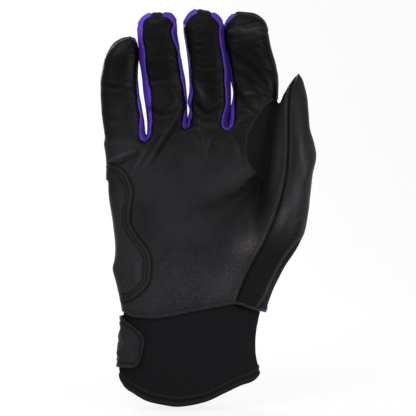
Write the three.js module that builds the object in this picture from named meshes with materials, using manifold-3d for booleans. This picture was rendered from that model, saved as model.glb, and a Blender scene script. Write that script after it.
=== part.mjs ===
// A right-hand batting glove, palm towards -Y, fingers up +Z, thumb towards +X.
// Millimetres. The origin is the middle of the wrist opening, level with the lowest point of the hem.
import * as THREE from 'three';
import { mergeVertices } from 'three/addons/utils/BufferGeometryUtils.js';
import Module from 'manifold-3d';

// Driving dimensions
const hemToCuffTop = 57;
const palmLength = 121;
const knuckleWidth = 109;
const leatherWall = 1.2;
const cuffWall = 2.4;
const gap = 0.3;
const creaseClearance = 0.4;
const overrun = 60;

// Fingers: lengths from the knuckle line to the tip, and half their depth from palm side to back. The side
// walls reach from one side seam to the other, and the back wraps over the middle of the tip.
const FINGER = {
  littleLength: 57,
  ringLength: 73,
  middleLength: 75,
  indexLength: 73,
  littleHalfDepth: 9.4,
  halfDepth: 10.7,
  sideSeamDepth: 5.2,
  tipWrapHalf: 5.5,
  tipWrapDrop: 9,
};

// Hand
const HAND = {
  wristHalfDepth: 12.4,
  palmHalfDepth: 16.5,
  knuckleHalfDepth: 13,
  pinchHalfDepth: 4.2,
  lobeLength: 30,
};

// Thumb: bend height over the cuff's top, and how far its middle stands in front of the hand's
const THUMB = {
  length: 154,
  bendRise: 83,
  halfDepth: 14.5,
  forward: 9,
  backSeamInset: 9,
};

// Webs between the fingers
const WEB = {
  halfWidth: 2.4,
  drop: 3.2,
};

// Cuff, its hem band and the rolled edge between cuff and palm
const CUFF = {
  halfWidth: 43.2,
  ulnarHalfWidth: 42.0,
  halfDepth: 12.4,
  hemBand: 7,
  hemWall: 3.2,
  hemStand: 0.6,
  rollHeight: 2.6,
  rollStand: 0.7,
  rollWall: 2.2,
  slitX: -17,
  slitWidth: 4,
};

// Strap layers, measured outwards from the cuff's surface
const STRAP = {
  bottomZ: 25.2,
  height: 31.8,
  anchorWidth: 13,
  anchorX: 18,
  foldX: -38,
  fastenerLayer: 0.7,
  thickness: 1.7,
  bindingRise: 0.6,
  bindingWidth: 2,
  tabReach: 16.5,
};

const fingers = [
  { name: 'little', length: FINGER.littleLength, halfDepth: FINGER.littleHalfDepth },
  { name: 'ring', length: FINGER.ringLength, halfDepth: FINGER.halfDepth },
  { name: 'middle', length: FINGER.middleLength, halfDepth: FINGER.halfDepth },
  { name: 'index', length: FINGER.indexLength, halfDepth: FINGER.halfDepth },
];
const laneCount = fingers.length;
const laneReach = Math.max(...fingers.map((finger) => finger.length));
const zWrist = hemToCuffTop;
const zKnuckle = hemToCuffTop + palmLength;
const zThumbBend = hemToCuffTop + THUMB.bendRise;

// Edges of the finger lanes in shares of the knuckle width: little-finger side of the hand, the three
// gaps between fingers, index side. Each row is one height, in shares of the lane's reach.
const laneHeightShares = [0, 0.25, 0.5, 0.75, 1];
const laneEdgeShares = [
  [-0.503, -0.265, -0.012, 0.240, 0.486],
  [-0.517, -0.273, -0.006, 0.249, 0.521],
  [-0.505, -0.285, -0.019, 0.237, 0.514],
  [-0.455, -0.302, -0.043, 0.205, 0.470],
  [-0.405, -0.306, -0.043, 0.206, 0.462],
];
const laneHalfGapShares = [
  [0, 0.007, 0.007, 0.006, 0],
  [0, 0.014, 0.008, 0.006, 0],
  [0, 0.011, 0.018, 0.006, 0],
  [0, 0.005, 0.021, 0.006, 0],
  [0, 0.005, 0.026, 0.006, 0],
];

// Heights of the finger creases at the five lane edges, over the knuckle line, in knuckle widths
const creaseRiseShares = [-0.092, -0.055, 0.018, 0.009, 0.092];

// Hand edges below the knuckles: share of the palm length, then x in knuckle widths
const ulnarEdgeShares = [
  [0, -0.385], [0.12, -0.413], [0.20, -0.431], [0.34, -0.431], [0.53, -0.452],
  [0.72, -0.479], [0.80, -0.477], [0.92, -0.494], [1, -0.503],
];
const radialEdgeShares = [
  [0, 0.420], [0.12, 0.440], [0.23, 0.456], [0.41, 0.456], [0.63, 0.430], [0.74, 0.430],
  [0.85, 0.455], [1, 0.486],
];

// Wrist hem: x in knuckle widths, then height over the cuff's top in knuckle widths
const wristHemShares = [
  [-0.42, 0.045], [-0.385, 0.035], [-0.345, 0.011], [-0.278, 0.000], [-0.204, 0.000], [-0.109, 0.011],
  [0.026, 0.039], [0.161, 0.065], [0.282, 0.081], [0.362, 0.055], [0.437, 0.036], [0.46, 0.030],
];

// Cuff's lower edge: x in shares of the cuff's half width, then height in shares of its height
const cuffHemShares = [
  [-1.02, 0.36], [-0.97, 0.26], [-0.90, 0.19], [-0.78, 0.13], [-0.60, 0.06], [-0.18, 0.00], [0.16, 0.035],
  [0.49, 0.13], [0.74, 0.22], [0.98, 0.30], [1.02, 0.33],
];
const cuffWaistShares = [
  [0, 1.02], [0.35, 1.01], [0.55, 0.985], [0.75, 0.98], [0.9, 1.0], [1.1, 1.06],
];

// Thumb: share of its length over the cuff's top, its two edges in knuckle widths, then how deep it is and
// how far forward it stands, in shares of those two sizes
const thumbShares = [
  [-0.04, 0.270, 0.400, 0.80, 0.2],
  [0.06, 0.300, 0.452, 0.82, 0.3],
  [0.18, 0.330, 0.541, 0.95, 0.6],
  [0.33, 0.370, 0.661, 1.02, 0.9],
  [0.50, 0.430, 0.706, 1.00, 1.1],
  [0.58, 0.442, 0.720, 0.98, 1.2],
  [0.67, 0.474, 0.742, 0.92, 1.2],
  [0.77, 0.490, 0.710, 0.84, 1.1],
  [0.85, 0.512, 0.700, 0.72, 1.0],
  [0.90, 0.540, 0.690, 0.58, 0.9],
  [0.95, 0.578, 0.675, 0.40, 0.8],
  [1.00, 0.622, 0.646, 0.14, 0.7],
];
const thumbSeamShares = [
  [-0.04, 0.268], [0.057, 0.282], [0.16, 0.337], [0.24, 0.391], [0.32, 0.444], [0.41, 0.505],
  [0.50, 0.546], [0.60, 0.577], [0.69, 0.585], [0.80, 0.588], [0.89, 0.595], [0.94, 0.606], [1.02, 0.636],
];

// Gusset's palm-side border, in palm lengths over the cuff's top and knuckle widths
const gussetBorderShares = [
  [0.68, 0.440], [0.72, 0.420], [0.80, 0.352], [0.875, 0.337], [0.945, 0.343], [1.00, 0.376], [1.06, 0.430],
];

// Heel patch: its palm-side border, x in knuckle widths and height in palm lengths over the cuff's top
const heelPatchShares = [
  [-0.56, 0.805], [-0.470, 0.805], [-0.422, 0.790], [-0.374, 0.764], [-0.339, 0.715], [-0.320, 0.661],
  [-0.326, 0.607], [-0.335, 0.542], [-0.332, 0.488], [-0.296, 0.429], [-0.249, 0.374], [-0.218, 0.321],
  [-0.216, 0.255], [-0.224, 0.190], [-0.258, 0.144], [-0.326, 0.095], [-0.40, 0.075], [-0.56, 0.075],
];
const heelPatchThickness = 1.1;

// Strap tab on the palm side: share of its reach from the fold, share of the strap's height
const tabShares = [[-0.7, 0], [0.68, 0], [0.86, 0.05], [0.97, 0.16], [1.0, 0.4], [1.02, 0.62], [0.96, 0.69],
  [0.1, 0.96], [-0.7, 1.0]];
const tabMiddleShare = 0.4;

// Wrist elastic inside the palm
const ELASTIC = {
  halfWidth: 26,
  rise: 9,
  height: 8,
  thickness: 0.8,
};

// Rounding of a finger towards its tip: share of its length, width share, depth share
const tipShares = [
  [0, 1, 1], [0.2, 1, 1], [0.42, 1, 1], [0.62, 1, 1], [0.76, 1, 0.98], [0.86, 0.98, 0.92],
  [0.93, 0.92, 0.76], [0.975, 0.8, 0.52], [1, 0.58, 0.24],
];
const laneSampleShares = [0, 0.12, 0.36, 0.64, 0.88];
const fingerSampleShares = [0, 0.08, 0.26, 0.5, 0.74, 0.92, 1];
const palmRowShares = [0, 0.12, 0.28, 0.46, 0.62, 0.76, 0.87, 1];
const cuffRowShares = [0, 0.5, 1];
const cuffSampleShares = [0, 0.03, 0.1, 0.2, 0.35, 0.5, 0.65, 0.8, 0.9, 0.97, 1];
const roundPower = 2.5;

// How far a hollow runs past the ends of what it opens, and how far it stops short of a closed tip
const pastEndShare = 0.12;
const thumbTipShare = 0.02;

// Materials, by the slot that each piece is made of
const SLOTS = {
  leather: { color: 0x242425, roughness: 0.5 },
  heelLeather: { color: 0x262627, roughness: 0.48 },
  backFabric: { color: 0x1e1e20, roughness: 0.85 },
  mesh: { color: 0x1a1a1b, roughness: 0.9 },
  purpleStretch: { color: 0x4b2daa, roughness: 0.7 },
  neoprene: { color: 0x1a1a1b, roughness: 0.92 },
  binding: { color: 0x202022, roughness: 0.75 },
  hookAndLoop: { color: 0x151516, roughness: 0.95 },
  elastic: { color: 0x2a2a2c, roughness: 0.9 },
};

const wasm = await Module();
wasm.setup();
const glove = new THREE.Group();

// Value of a table at a place along its first column, on a smooth curve through its rows
function tableAt(rows, place, column = 1) {
  const last = rows.length - 1;
  const at = THREE.MathUtils.clamp(place, rows[0][0], rows[last][0]);
  let i = 0;
  while (i < last - 1 && at > rows[i + 1][0]) i += 1;
  const slope = (a, b) => (rows[b][column] - rows[a][column]) / (rows[b][0] - rows[a][0]);
  const before = i > 0 ? (slope(i - 1, i) + slope(i, i + 1)) / 2 : slope(i, i + 1);
  const after = i < last - 1 ? (slope(i, i + 1) + slope(i + 1, i + 2)) / 2 : slope(i, i + 1);
  const span = rows[i + 1][0] - rows[i][0];
  const t = (at - rows[i][0]) / span;
  const start = rows[i][column];
  const end = rows[i + 1][column];
  const rise = end - start;
  return start + rise * t * t * (3 - 2 * t)
    + span * t * (1 - t) * (before * (1 - t) - after * t);
}

// X of a lane edge (0 at the little-finger side, 4 at the index side) at a height
const laneRows = (table) => table.map((row, i) => [laneHeightShares[i], ...row]);
const laneEdgeRows = laneRows(laneEdgeShares);
const laneGapRows = laneRows(laneHalfGapShares);

function handEdgeX(rows, z) {
  return tableAt(rows, (z - zWrist) / palmLength) * knuckleWidth;
}

function laneEdgeX(lane, z) {
  if (z >= zKnuckle) return tableAt(laneEdgeRows, (z - zKnuckle) / laneReach, lane + 1) * knuckleWidth;
  const ulnar = handEdgeX(ulnarEdgeShares, z);
  const radial = handEdgeX(radialEdgeShares, z);
  const [first, ...rest] = laneEdgeShares[0];
  const across = (laneEdgeShares[0][lane] - first) / (rest[rest.length - 1] - first);
  return THREE.MathUtils.lerp(ulnar, radial, across);
}

function laneHalfGap(lane, z) {
  return tableAt(laneGapRows, Math.max(0, z - zKnuckle) / laneReach, lane + 1) * knuckleWidth;
}

const creaseRows = creaseRiseShares.map((rise, lane) => [lane, rise]);
const creaseZ = (lane) => zKnuckle + tableAt(creaseRows, lane) * knuckleWidth;
const wristHemZ = (x) => zWrist + tableAt(wristHemShares, x / knuckleWidth) * knuckleWidth;
const cuffHemZ = (x) => tableAt(cuffHemShares, x / CUFF.halfWidth) * hemToCuffTop;

// Half depth of a rounded section at a place from -1 to 1 across it
function roundSection(across) {
  return (1 - Math.abs(THREE.MathUtils.clamp(across, -1, 1)) ** roundPower) ** (1 / roundPower);
}

// Closed solid between a palm-side grid and a back grid that meet along both of their long edges
function lensSolid(across, rows, palmPoint, backPoint) {
  const palm = across.map((u) => rows.map((v) => palmPoint(u, v)));
  const back = across.map((u) => rows.map((v) => backPoint(u, v)));
  const corners = [];
  const quad = (a, b, c, d) => corners.push(a, b, c, a, c, d);
  const top = rows.length - 1;
  for (let i = 0; i + 1 < across.length; i += 1) {
    for (let j = 0; j < top; j += 1) {
      quad(palm[i][j], palm[i + 1][j], palm[i + 1][j + 1], palm[i][j + 1]);
      quad(back[i][j], back[i][j + 1], back[i + 1][j + 1], back[i + 1][j]);
    }
    quad(palm[i][0], back[i][0], back[i + 1][0], palm[i + 1][0]);
    quad(palm[i][top], palm[i + 1][top], back[i + 1][top], back[i][top]);
  }
  const geometry = new THREE.BufferGeometry().setFromPoints(corners);
  return toSolid(geometry);
}

function toSolid(geometry) {
  geometry.deleteAttribute('normal');
  geometry.deleteAttribute('uv');
  const merged = mergeVertices(geometry);
  const index = merged.index.array;
  const kept = [];
  for (let i = 0; i < index.length; i += 3) {
    const [a, b, c] = [index[i], index[i + 1], index[i + 2]];
    if (a !== b && b !== c && c !== a) kept.push(a, b, c);
  }
  const triVerts = new Uint32Array(kept);
  const vertProperties = new Float32Array(merged.attributes.position.array);
  return new wasm.Manifold(new wasm.Mesh({ numProp: 3, vertProperties, triVerts }));
}

// Prism through the glove with an outline drawn in the palm's plane, between two depths
function prism(outline, nearY, farY) {
  const shape = new THREE.Shape(outline.map(([x, z]) => new THREE.Vector2(x, z)));
  const geometry = new THREE.ExtrudeGeometry(shape, { depth: farY - nearY, bevelEnabled: false });
  geometry.rotateX(Math.PI / 2);
  geometry.translate(0, farY, 0);
  return toSolid(geometry);
}

function rectangle(x0, z0, x1, z1) {
  return [[x0, z0], [x1, z0], [x1, z1], [x0, z1]];
}

// Wide cutters: the palm side, the back, and what lies above or below a height
const reachX = knuckleWidth + overrun;
const reachZ = hemToCuffTop + palmLength + laneReach + overrun;
const everywhere = rectangle(-reachX, -overrun, reachX, reachZ);
const palmSide = (edgeY = -gap / 2) => prism(everywhere, -overrun, edgeY);
const backSide = (edgeY = gap / 2) => prism(everywhere, edgeY, overrun);
const slab = (nearY, farY) => prism(everywhere, nearY, farY);
const above = (z) => prism(rectangle(-reachX, z, reachX, reachZ), -overrun, overrun);
const below = (z) => prism(rectangle(-reachX, -overrun, reachX, z), -overrun, overrun);
const leftOf = (x) => prism(rectangle(-reachX, -overrun, x, reachZ), -overrun, overrun);
const rightOf = (x) => prism(rectangle(x, -overrun, reachX, reachZ), -overrun, overrun);

// Cutter of all that lies on the +X side of a curve given by its heights
function rightOfCurve(xAt, z0, z1, shift) {
  const steps = 14;
  const curve = [];
  for (let i = 0; i <= steps; i += 1) {
    const z = THREE.MathUtils.lerp(z0, z1, i / steps);
    curve.push([xAt(z) + shift, z]);
  }
  return prism([...curve, [reachX, z1], [reachX, z0]], -overrun, overrun);
}

function addPiece(name, solid, slot) {
  const mesh = solid.getMesh();
  const geometry = new THREE.BufferGeometry();
  geometry.setAttribute('position', new THREE.BufferAttribute(new Float32Array(mesh.vertProperties), 3));
  geometry.setIndex(new THREE.BufferAttribute(new Uint32Array(mesh.triVerts), 1));
  geometry.computeVertexNormals();
  const { color, roughness } = SLOTS[slot];
  const material = new THREE.MeshStandardMaterial({ color, roughness, metalness: 0 });
  const piece = new THREE.Mesh(geometry, material);
  piece.name = name;
  glove.add(piece);
}

// Hand: one flattened tube from the wrist hem to the finger creases, drawn in to four lobes under the
// fingers. A positive inset lies inside the glove's outer face, and a negative one outside it.
const handAcross = [];
for (let lane = 0; lane < laneCount; lane += 1) {
  for (const share of laneSampleShares) handAcross.push(lane + share);
}
handAcross.push(laneCount);

const handDepthRows = [
  [0, HAND.wristHalfDepth], [0.3, HAND.palmHalfDepth * 0.96], [0.55, HAND.palmHalfDepth],
  [0.8, (HAND.palmHalfDepth + HAND.knuckleHalfDepth) / 2], [1, HAND.knuckleHalfDepth],
  [1.2, HAND.knuckleHalfDepth * 0.9],
];

function handPlace(across, row) {
  const top = creaseZ(across) - creaseClearance;
  const guessX = laneX(across, zWrist);
  const z = THREE.MathUtils.lerp(wristHemZ(guessX) + gap, top, row);
  return { x: laneX(across, z), z, top };
}

function laneX(across, z) {
  const lane = Math.min(Math.floor(across), laneCount - 1);
  return THREE.MathUtils.lerp(laneEdgeX(lane, z), laneEdgeX(lane + 1, z), across - lane);
}

function handHalfDepth(across, z, top) {
  const whole = 2 * (across / laneCount) - 1;
  const wide = tableAt(handDepthRows, (z - zWrist) / palmLength) * roundSection(whole);
  const lane = Math.min(Math.floor(across), laneCount - 1);
  const lobe = 2 * (across - lane) - 1;
  const atOuterEdge = (lane === 0 && lobe < 0) || (lane === laneCount - 1 && lobe > 0);
  const pinched = fingers[lane].halfDepth * roundSection(lobe);
  const lobed = atOuterEdge ? pinched : Math.max(pinched, HAND.pinchHalfDepth);
  const towardsTop = THREE.MathUtils.smoothstep(z, top - HAND.lobeLength, top);
  return THREE.MathUtils.lerp(wide, lobed, towardsTop);
}

const throughRows = [-pastEndShare, ...palmRowShares.slice(1, -1), 1 + pastEndShare];

function handSolid(inset, rowShares = palmRowShares) {
  const point = (side) => (across, row) => {
    const { x, z, top } = handPlace(across, row);
    const middle = laneX(laneCount / 2, z);
    const half = Math.abs(laneX(x < middle ? 0 : laneCount, z) - middle);
    const drawn = middle + (x - middle) * (1 - inset / half);
    const edge = across === 0 || across === laneCount;
    const depth = edge ? 0 : Math.max(handHalfDepth(across, z, top) - inset, gap);
    return new THREE.Vector3(drawn, side * depth, z);
  };
  return lensSolid(handAcross, rowShares, point(-1), point(1));
}

// Thumb: a tube from the wrist to its pointed tip, standing a little in front of the hand
const thumbAcross = fingerSampleShares.map((share) => 2 * share - 1);
const thumbRowShares = thumbShares.map((row) => row[0]);

function thumbSolid(inset, stop = 0) {
  const rows = thumbRowShares.map((share) => Math.min(share, 1 - stop));
  const unique = rows.filter((row, i) => i === 0 || row > rows[i - 1]);
  const point = (side) => (across, row) => {
    const ulnar = tableAt(thumbShares, row, 1) * knuckleWidth;
    const radial = tableAt(thumbShares, row, 2) * knuckleWidth;
    const half = (radial - ulnar) / 2;
    const depth = Math.max(tableAt(thumbShares, row, 3) * THUMB.halfDepth - inset, gap);
    const forward = tableAt(thumbShares, row, 4) * THUMB.forward;
    const x = (ulnar + radial) / 2 + across * Math.max(half - inset, gap);
    const z = zWrist + row * THUMB.length;
    return new THREE.Vector3(x, side * depth * roundSection(across) - forward, z);
  };
  return lensSolid(thumbAcross, unique, point(-1), point(1));
}

const thumbSeamX = (z) => tableAt(thumbSeamShares, (z - zWrist) / THUMB.length) * knuckleWidth;
const gussetX = (z) => tableAt(gussetBorderShares, (z - zWrist) / palmLength) * knuckleWidth;
const thumbEdgeX = (z) => tableAt(thumbShares, (z - zWrist) / THUMB.length, 2) * knuckleWidth;

// Cutter of what lies on one side of the wrist hem, up to a height
function besideWristHem(shift, limitZ) {
  const line = wristHemShares.map(([x, rise]) => [x * knuckleWidth, zWrist + rise * knuckleWidth + shift]);
  const left = [-reachX, line[0][1]];
  const right = [reachX, line[line.length - 1][1]];
  const outline = [left, ...line, right, [reachX, limitZ], [-reachX, limitZ]];
  return prism(limitZ > zWrist ? outline : outline.reverse(), -overrun, overrun);
}

// U-shaped bottoms between the fingers, and the notches that they sit in
const webs = [
  { name: 'web_little_ring', lane: 1 },
  { name: 'web_ring_middle', lane: 2 },
  { name: 'web_middle_index', lane: 3 },
];

function webOutline(lane, grow) {
  const top = creaseZ(lane);
  const x = laneEdgeX(lane, top);
  const half = WEB.halfWidth + grow;
  const bottom = top - WEB.drop - grow;
  const lift = grow > 0 ? WEB.drop : -gap;
  const corner = half / 2;
  return [[x - half, top + lift], [x - half, bottom + corner], [x - corner, bottom],
    [x + corner, bottom], [x + half, bottom + corner], [x + half, top + lift]];
}

function makeHand() {
  const outer = handSolid(0).add(thumbSolid(0).intersect(below(zThumbBend - gap / 2)))
    .intersect(besideWristHem(gap, reachZ));
  const inner = handSolid(leatherWall, throughRows).add(thumbSolid(leatherWall, thumbTipShare));
  const thumbRoom = thumbSolid(-gap).intersect(above(zThumbBend - gap / 2));
  let skin = outer.subtract(inner).subtract(thumbRoom);
  for (const { lane } of webs) skin = skin.subtract(prism(webOutline(lane, gap), -overrun, overrun));
  const palmHalf = skin.intersect(palmSide());
  const backHalf = skin.intersect(backSide());
  const bend = zThumbBend;

  // Palm leather runs to the thumb seam below the thumb's bend, and to the gusset above it
  const pastSeam = rightOfCurve(thumbSeamX, 0, bend, -gap / 2);
  const pastGusset = rightOfCurve(gussetX, bend - gap / 2, creaseZ(laneCount) + overrun, -gap / 2);
  addPiece('palm_leather', palmHalf.subtract(pastSeam).subtract(pastGusset), 'leather');

  const gussetSide = rightOfCurve(gussetX, bend + gap, creaseZ(laneCount) + overrun, gap / 2);
  addPiece('thumb_gusset', palmHalf.intersect(gussetSide), 'mesh');

  // The lower thumb panel goes round the thumb's edge to a seam on the back
  const backSeamX = (z) => tableAt(thumbShares, (z - zWrist) / THUMB.length, 2) * knuckleWidth
    - THUMB.backSeamInset;
  const beyondSeam = rightOfCurve(thumbSeamX, 0, bend, gap / 2).intersect(palmSide(0));
  const beyondBack = rightOfCurve(backSeamX, 0, bend, gap / 2).intersect(backSide(0));
  const lowerPanel = beyondSeam.add(beyondBack).intersect(below(bend - gap / 2));
  addPiece('thumb_panel_lower', skin.intersect(lowerPanel), 'leather');
  const panelRoom = rightOfCurve(backSeamX, 0, bend, -gap / 2);
  addPiece('back_panel', backHalf.subtract(panelRoom), 'backFabric');
}

function makeWebs() {
  for (const { name, lane } of webs) {
    const half = HAND.pinchHalfDepth;
    addPiece(name, prism(webOutline(lane, 0), -half, half), 'purpleStretch');
  }
}

function makeHeelPatch() {
  const layer = handSolid(-gap - heelPatchThickness).subtract(handSolid(-gap, throughRows));
  const outline = heelPatchShares.map(([x, rise]) => [x * knuckleWidth, zWrist + rise * palmLength]);
  addPiece('heel_patch', layer.intersect(prism(outline, -overrun, -gap / 2)), 'heelLeather');
}

function makeElastic() {
  const inset = leatherWall + gap;
  const layer = handSolid(inset).subtract(handSolid(inset + ELASTIC.thickness, throughRows));
  const low = zWrist + ELASTIC.rise;
  const middle = laneX(laneCount / 2, low);
  const band = rectangle(middle - ELASTIC.halfWidth, low, middle + ELASTIC.halfWidth, low + ELASTIC.height);
  addPiece('wrist_elastic', layer.intersect(prism(band, -overrun, -gap / 2)), 'elastic');
}

// Fingers: one tube each between its lane's edges, cut along its side seams
function fingerSolid(lane, inset, from, stop) {
  const { length, halfDepth } = fingers[lane];
  const tip = zKnuckle + length;
  const rows = [from, ...tipShares.slice(1).map(([share]) => Math.min(share, 1 - stop))];
  const unique = rows.filter((row, i) => i === 0 || row > rows[i - 1]);
  const point = (side) => (share, row) => {
    const base = creaseZ(lane + share) + creaseClearance;
    const z = THREE.MathUtils.lerp(base, tip, row);
    const left = laneEdgeX(lane, z) + laneHalfGap(lane, z);
    const right = laneEdgeX(lane + 1, z) - laneHalfGap(lane + 1, z);
    const half = (right - left) / 2 * tableAt(tipShares, row, 1) - inset;
    const depth = Math.max(halfDepth * tableAt(tipShares, row, 2) - inset, gap);
    const across = 2 * share - 1;
    return new THREE.Vector3((left + right) / 2 + across * half, side * depth * roundSection(across), z);
  };
  return lensSolid(fingerSampleShares, unique, point(-1), point(1));
}

function makeFinger(lane) {
  const { name, length } = fingers[lane];
  const tip = zKnuckle + length;
  const outer = fingerSolid(lane, 0, 0, 0);
  const inner = fingerSolid(lane, leatherWall, -pastEndShare, leatherWall / length);
  const skin = outer.subtract(inner);
  const middle = (laneEdgeX(lane, tip) + laneEdgeX(lane + 1, tip)) / 2;
  const hasUlnarWall = lane > 0;
  const hasRadialWall = lane < laneCount - 1;

  // The back wraps over the middle of the tip down to the palm-side seam
  const { sideSeamDepth, tipWrapHalf, tipWrapDrop } = FINGER;
  const wrapRoom = (grow) => {
    const wide = tipWrapHalf + grow;
    const patch = rectangle(middle - wide, tip - tipWrapDrop - grow, middle + wide, reachZ);
    return prism(patch, -sideSeamDepth - grow, overrun);
  };
  const fromX = hasUlnarWall ? middle : -reachX;
  const toX = hasRadialWall ? middle : reachX;
  const walls = (grow) => {
    const seam = sideSeamDepth + grow;
    const ulnar = prism(rectangle(-reachX, -overrun, fromX, reachZ), -seam, seam);
    const radial = prism(rectangle(toX, -overrun, reachX, reachZ), -seam, seam);
    return ulnar.add(radial);
  };
  const half = gap / 2;
  let front = skin.intersect(palmSide(-half)).subtract(wrapRoom(half));
  let back = skin.intersect(backSide(half));
  if (hasUlnarWall || hasRadialWall) {
    const room = walls(half).subtract(wrapRoom(0));
    front = front.subtract(room);
    back = back.subtract(room);
  }
  const wrap = skin.intersect(wrapRoom(-half)).intersect(slab(-sideSeamDepth + half, gap));
  addPiece(`${name}_front`, front, 'leather');
  addPiece(`${name}_back`, back.add(wrap), 'backFabric');
  const wall = skin.intersect(slab(-sideSeamDepth + half, sideSeamDepth - half)).subtract(wrapRoom(half));
  if (hasUlnarWall) addPiece(`${name}_ulnar_wall`, wall.intersect(leftOf(middle)), 'purpleStretch');
  if (hasRadialWall) addPiece(`${name}_radial_wall`, wall.intersect(rightOf(middle)), 'purpleStretch');
}

function makeThumb() {
  const skin = thumbSolid(0).subtract(thumbSolid(leatherWall, thumbTipShare))
    .intersect(above(zThumbBend + gap));
  const top = zWrist + THUMB.length + gap;
  const seam = rightOfCurve(thumbSeamX, zThumbBend, top, -gap / 2).add(backSide(-THUMB.forward));
  const pastSeam = rightOfCurve(thumbSeamX, zThumbBend, top, gap / 2);
  const behind = backSide(-THUMB.forward + gap);
  addPiece('thumb_inner', skin.subtract(seam), 'leather');
  addPiece('thumb_outer', skin.intersect(pastSeam.add(behind)), 'leather');
}

// Cuff: a flattened tube under the wrist hem. Its rows go up from its hem at 0 to its top at 1.
function cuffSolid(inset, lowAt, highAt, rows = cuffRowShares) {
  const point = (side) => (share, row) => {
    const across = 2 * share - 1;
    const wide = (across < 0 ? CUFF.ulnarHalfWidth : CUFF.halfWidth);
    const guess = across * wide;
    const z = THREE.MathUtils.lerp(lowAt(guess), highAt(guess), row);
    const waist = tableAt(cuffWaistShares, z / hemToCuffTop);
    const half = wide * waist - inset;
    const depth = share === 0 || share === 1 ? 0 : (CUFF.halfDepth - inset) * roundSection(across);
    return new THREE.Vector3(across * half, side * depth, z);
  };
  return lensSolid(cuffSampleShares, rows, point(-1), point(1));
}

const cuffThroughRows = [-pastEndShare, ...cuffRowShares.slice(1, -1), 1 + pastEndShare];

function makeCuff() {
  const ring = (outset, wall, low, high) => cuffSolid(-outset, low, high)
    .subtract(cuffSolid(wall - outset, low, high, cuffThroughRows));
  const slit = prism(rectangle(CUFF.slitX - CUFF.slitWidth / 2, -overrun, CUFF.slitX + CUFF.slitWidth / 2,
    reachZ), 0, overrun);
  const bandTop = (x) => cuffHemZ(x) + CUFF.hemBand;
  const overHem = (x) => wristHemZ(x) + CUFF.rollHeight;
  const cuff = ring(0, cuffWall, (x) => bandTop(x) + gap, overHem)
    .intersect(besideWristHem(-CUFF.rollHeight - gap, -overrun));
  addPiece('cuff', cuff.subtract(slit), 'neoprene');
  addPiece('cuff_hem', ring(CUFF.hemStand, CUFF.hemWall, cuffHemZ, bandTop).subtract(slit), 'binding');
  const roll = ring(CUFF.rollStand, CUFF.rollWall, (x) => wristHemZ(x) - 2 * CUFF.rollHeight, overHem)
    .intersect(besideWristHem(-CUFF.rollHeight, reachZ))
    .intersect(besideWristHem(0, -overrun));
  addPiece('palm_hem', roll.intersect(palmSide()), 'leather');
  addPiece('back_trim', roll.intersect(backSide()), 'purpleStretch');
}

// Strap: layers over the cuff's surface, from the sewn end on the back round to the tab on the palm side
function cuffLayer(from, thickness) {
  const low = () => 0;
  const high = () => hemToCuffTop + gap;
  return cuffSolid(-from - thickness, low, high).subtract(cuffSolid(-from, low, high, cuffThroughRows));
}

function tabOutline(shrink) {
  return tabShares.map(([along, up]) => {
    const x = -CUFF.ulnarHalfWidth - STRAP.thickness + along * STRAP.tabReach;
    const inward = Math.sign(tabMiddleShare - up) * shrink;
    return [x - shrink, STRAP.bottomZ + up * STRAP.height + inward];
  });
}

function makeStrap() {
  const top = STRAP.bottomZ + STRAP.height;
  const loopFrom = gap;
  const hookFrom = loopFrom + STRAP.fastenerLayer + gap;
  const strapFrom = hookFrom + STRAP.fastenerLayer + gap;
  const layer = cuffLayer(strapFrom, STRAP.thickness);
  const backRect = rectangle(STRAP.foldX + gap / 2, STRAP.bottomZ, STRAP.anchorX - gap / 2, top);
  addPiece('strap_back', layer.intersect(prism(backRect, 0, overrun)), 'neoprene');
  const anchorEnd = STRAP.anchorX + STRAP.anchorWidth;
  const anchorRect = rectangle(STRAP.anchorX + gap / 2, STRAP.bottomZ, anchorEnd, top);
  const anchor = cuffLayer(gap, strapFrom + STRAP.thickness - gap);
  addPiece('strap_anchor', anchor.intersect(prism(anchorRect, 0, overrun)), 'neoprene');
  const wrap = prism(rectangle(-reachX, STRAP.bottomZ, STRAP.foldX - gap / 2, top), -gap, overrun);
  const onPalm = prism(tabOutline(0), -overrun, 0);
  addPiece('strap_tab', layer.intersect(wrap.add(onPalm)), 'leather');
  const inside = prism(tabOutline(STRAP.bindingWidth), -overrun, 0);
  const rim = prism(tabOutline(0), -overrun, -gap).subtract(inside);
  const raised = cuffLayer(strapFrom + STRAP.thickness + gap, STRAP.bindingRise);
  addPiece('tab_binding', raised.intersect(rim), 'binding');
  const patch = prism(tabOutline(STRAP.bindingWidth), -overrun, -CUFF.halfDepth / 2);
  addPiece('hook_patch', cuffLayer(hookFrom, STRAP.fastenerLayer).intersect(patch), 'hookAndLoop');
  addPiece('loop_patch', cuffLayer(loopFrom, STRAP.fastenerLayer).intersect(patch), 'hookAndLoop');
}

makeHand();
makeWebs();
makeHeelPatch();
makeElastic();
for (let lane = 0; lane < laneCount; lane += 1) makeFinger(lane);
makeThumb();
makeCuff();
makeStrap();

export default glove;
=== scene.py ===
"""Visual model of a right-hand leather batting glove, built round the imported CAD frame.

Lengths inside the geometry functions are millimetres; meshes are written in metres.
"""

import bmesh
import bpy
import numpy as np
from bpy.props import FloatProperty, FloatVectorProperty, IntProperty
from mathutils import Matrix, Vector
from mathutils.bvhtree import BVHTree


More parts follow.
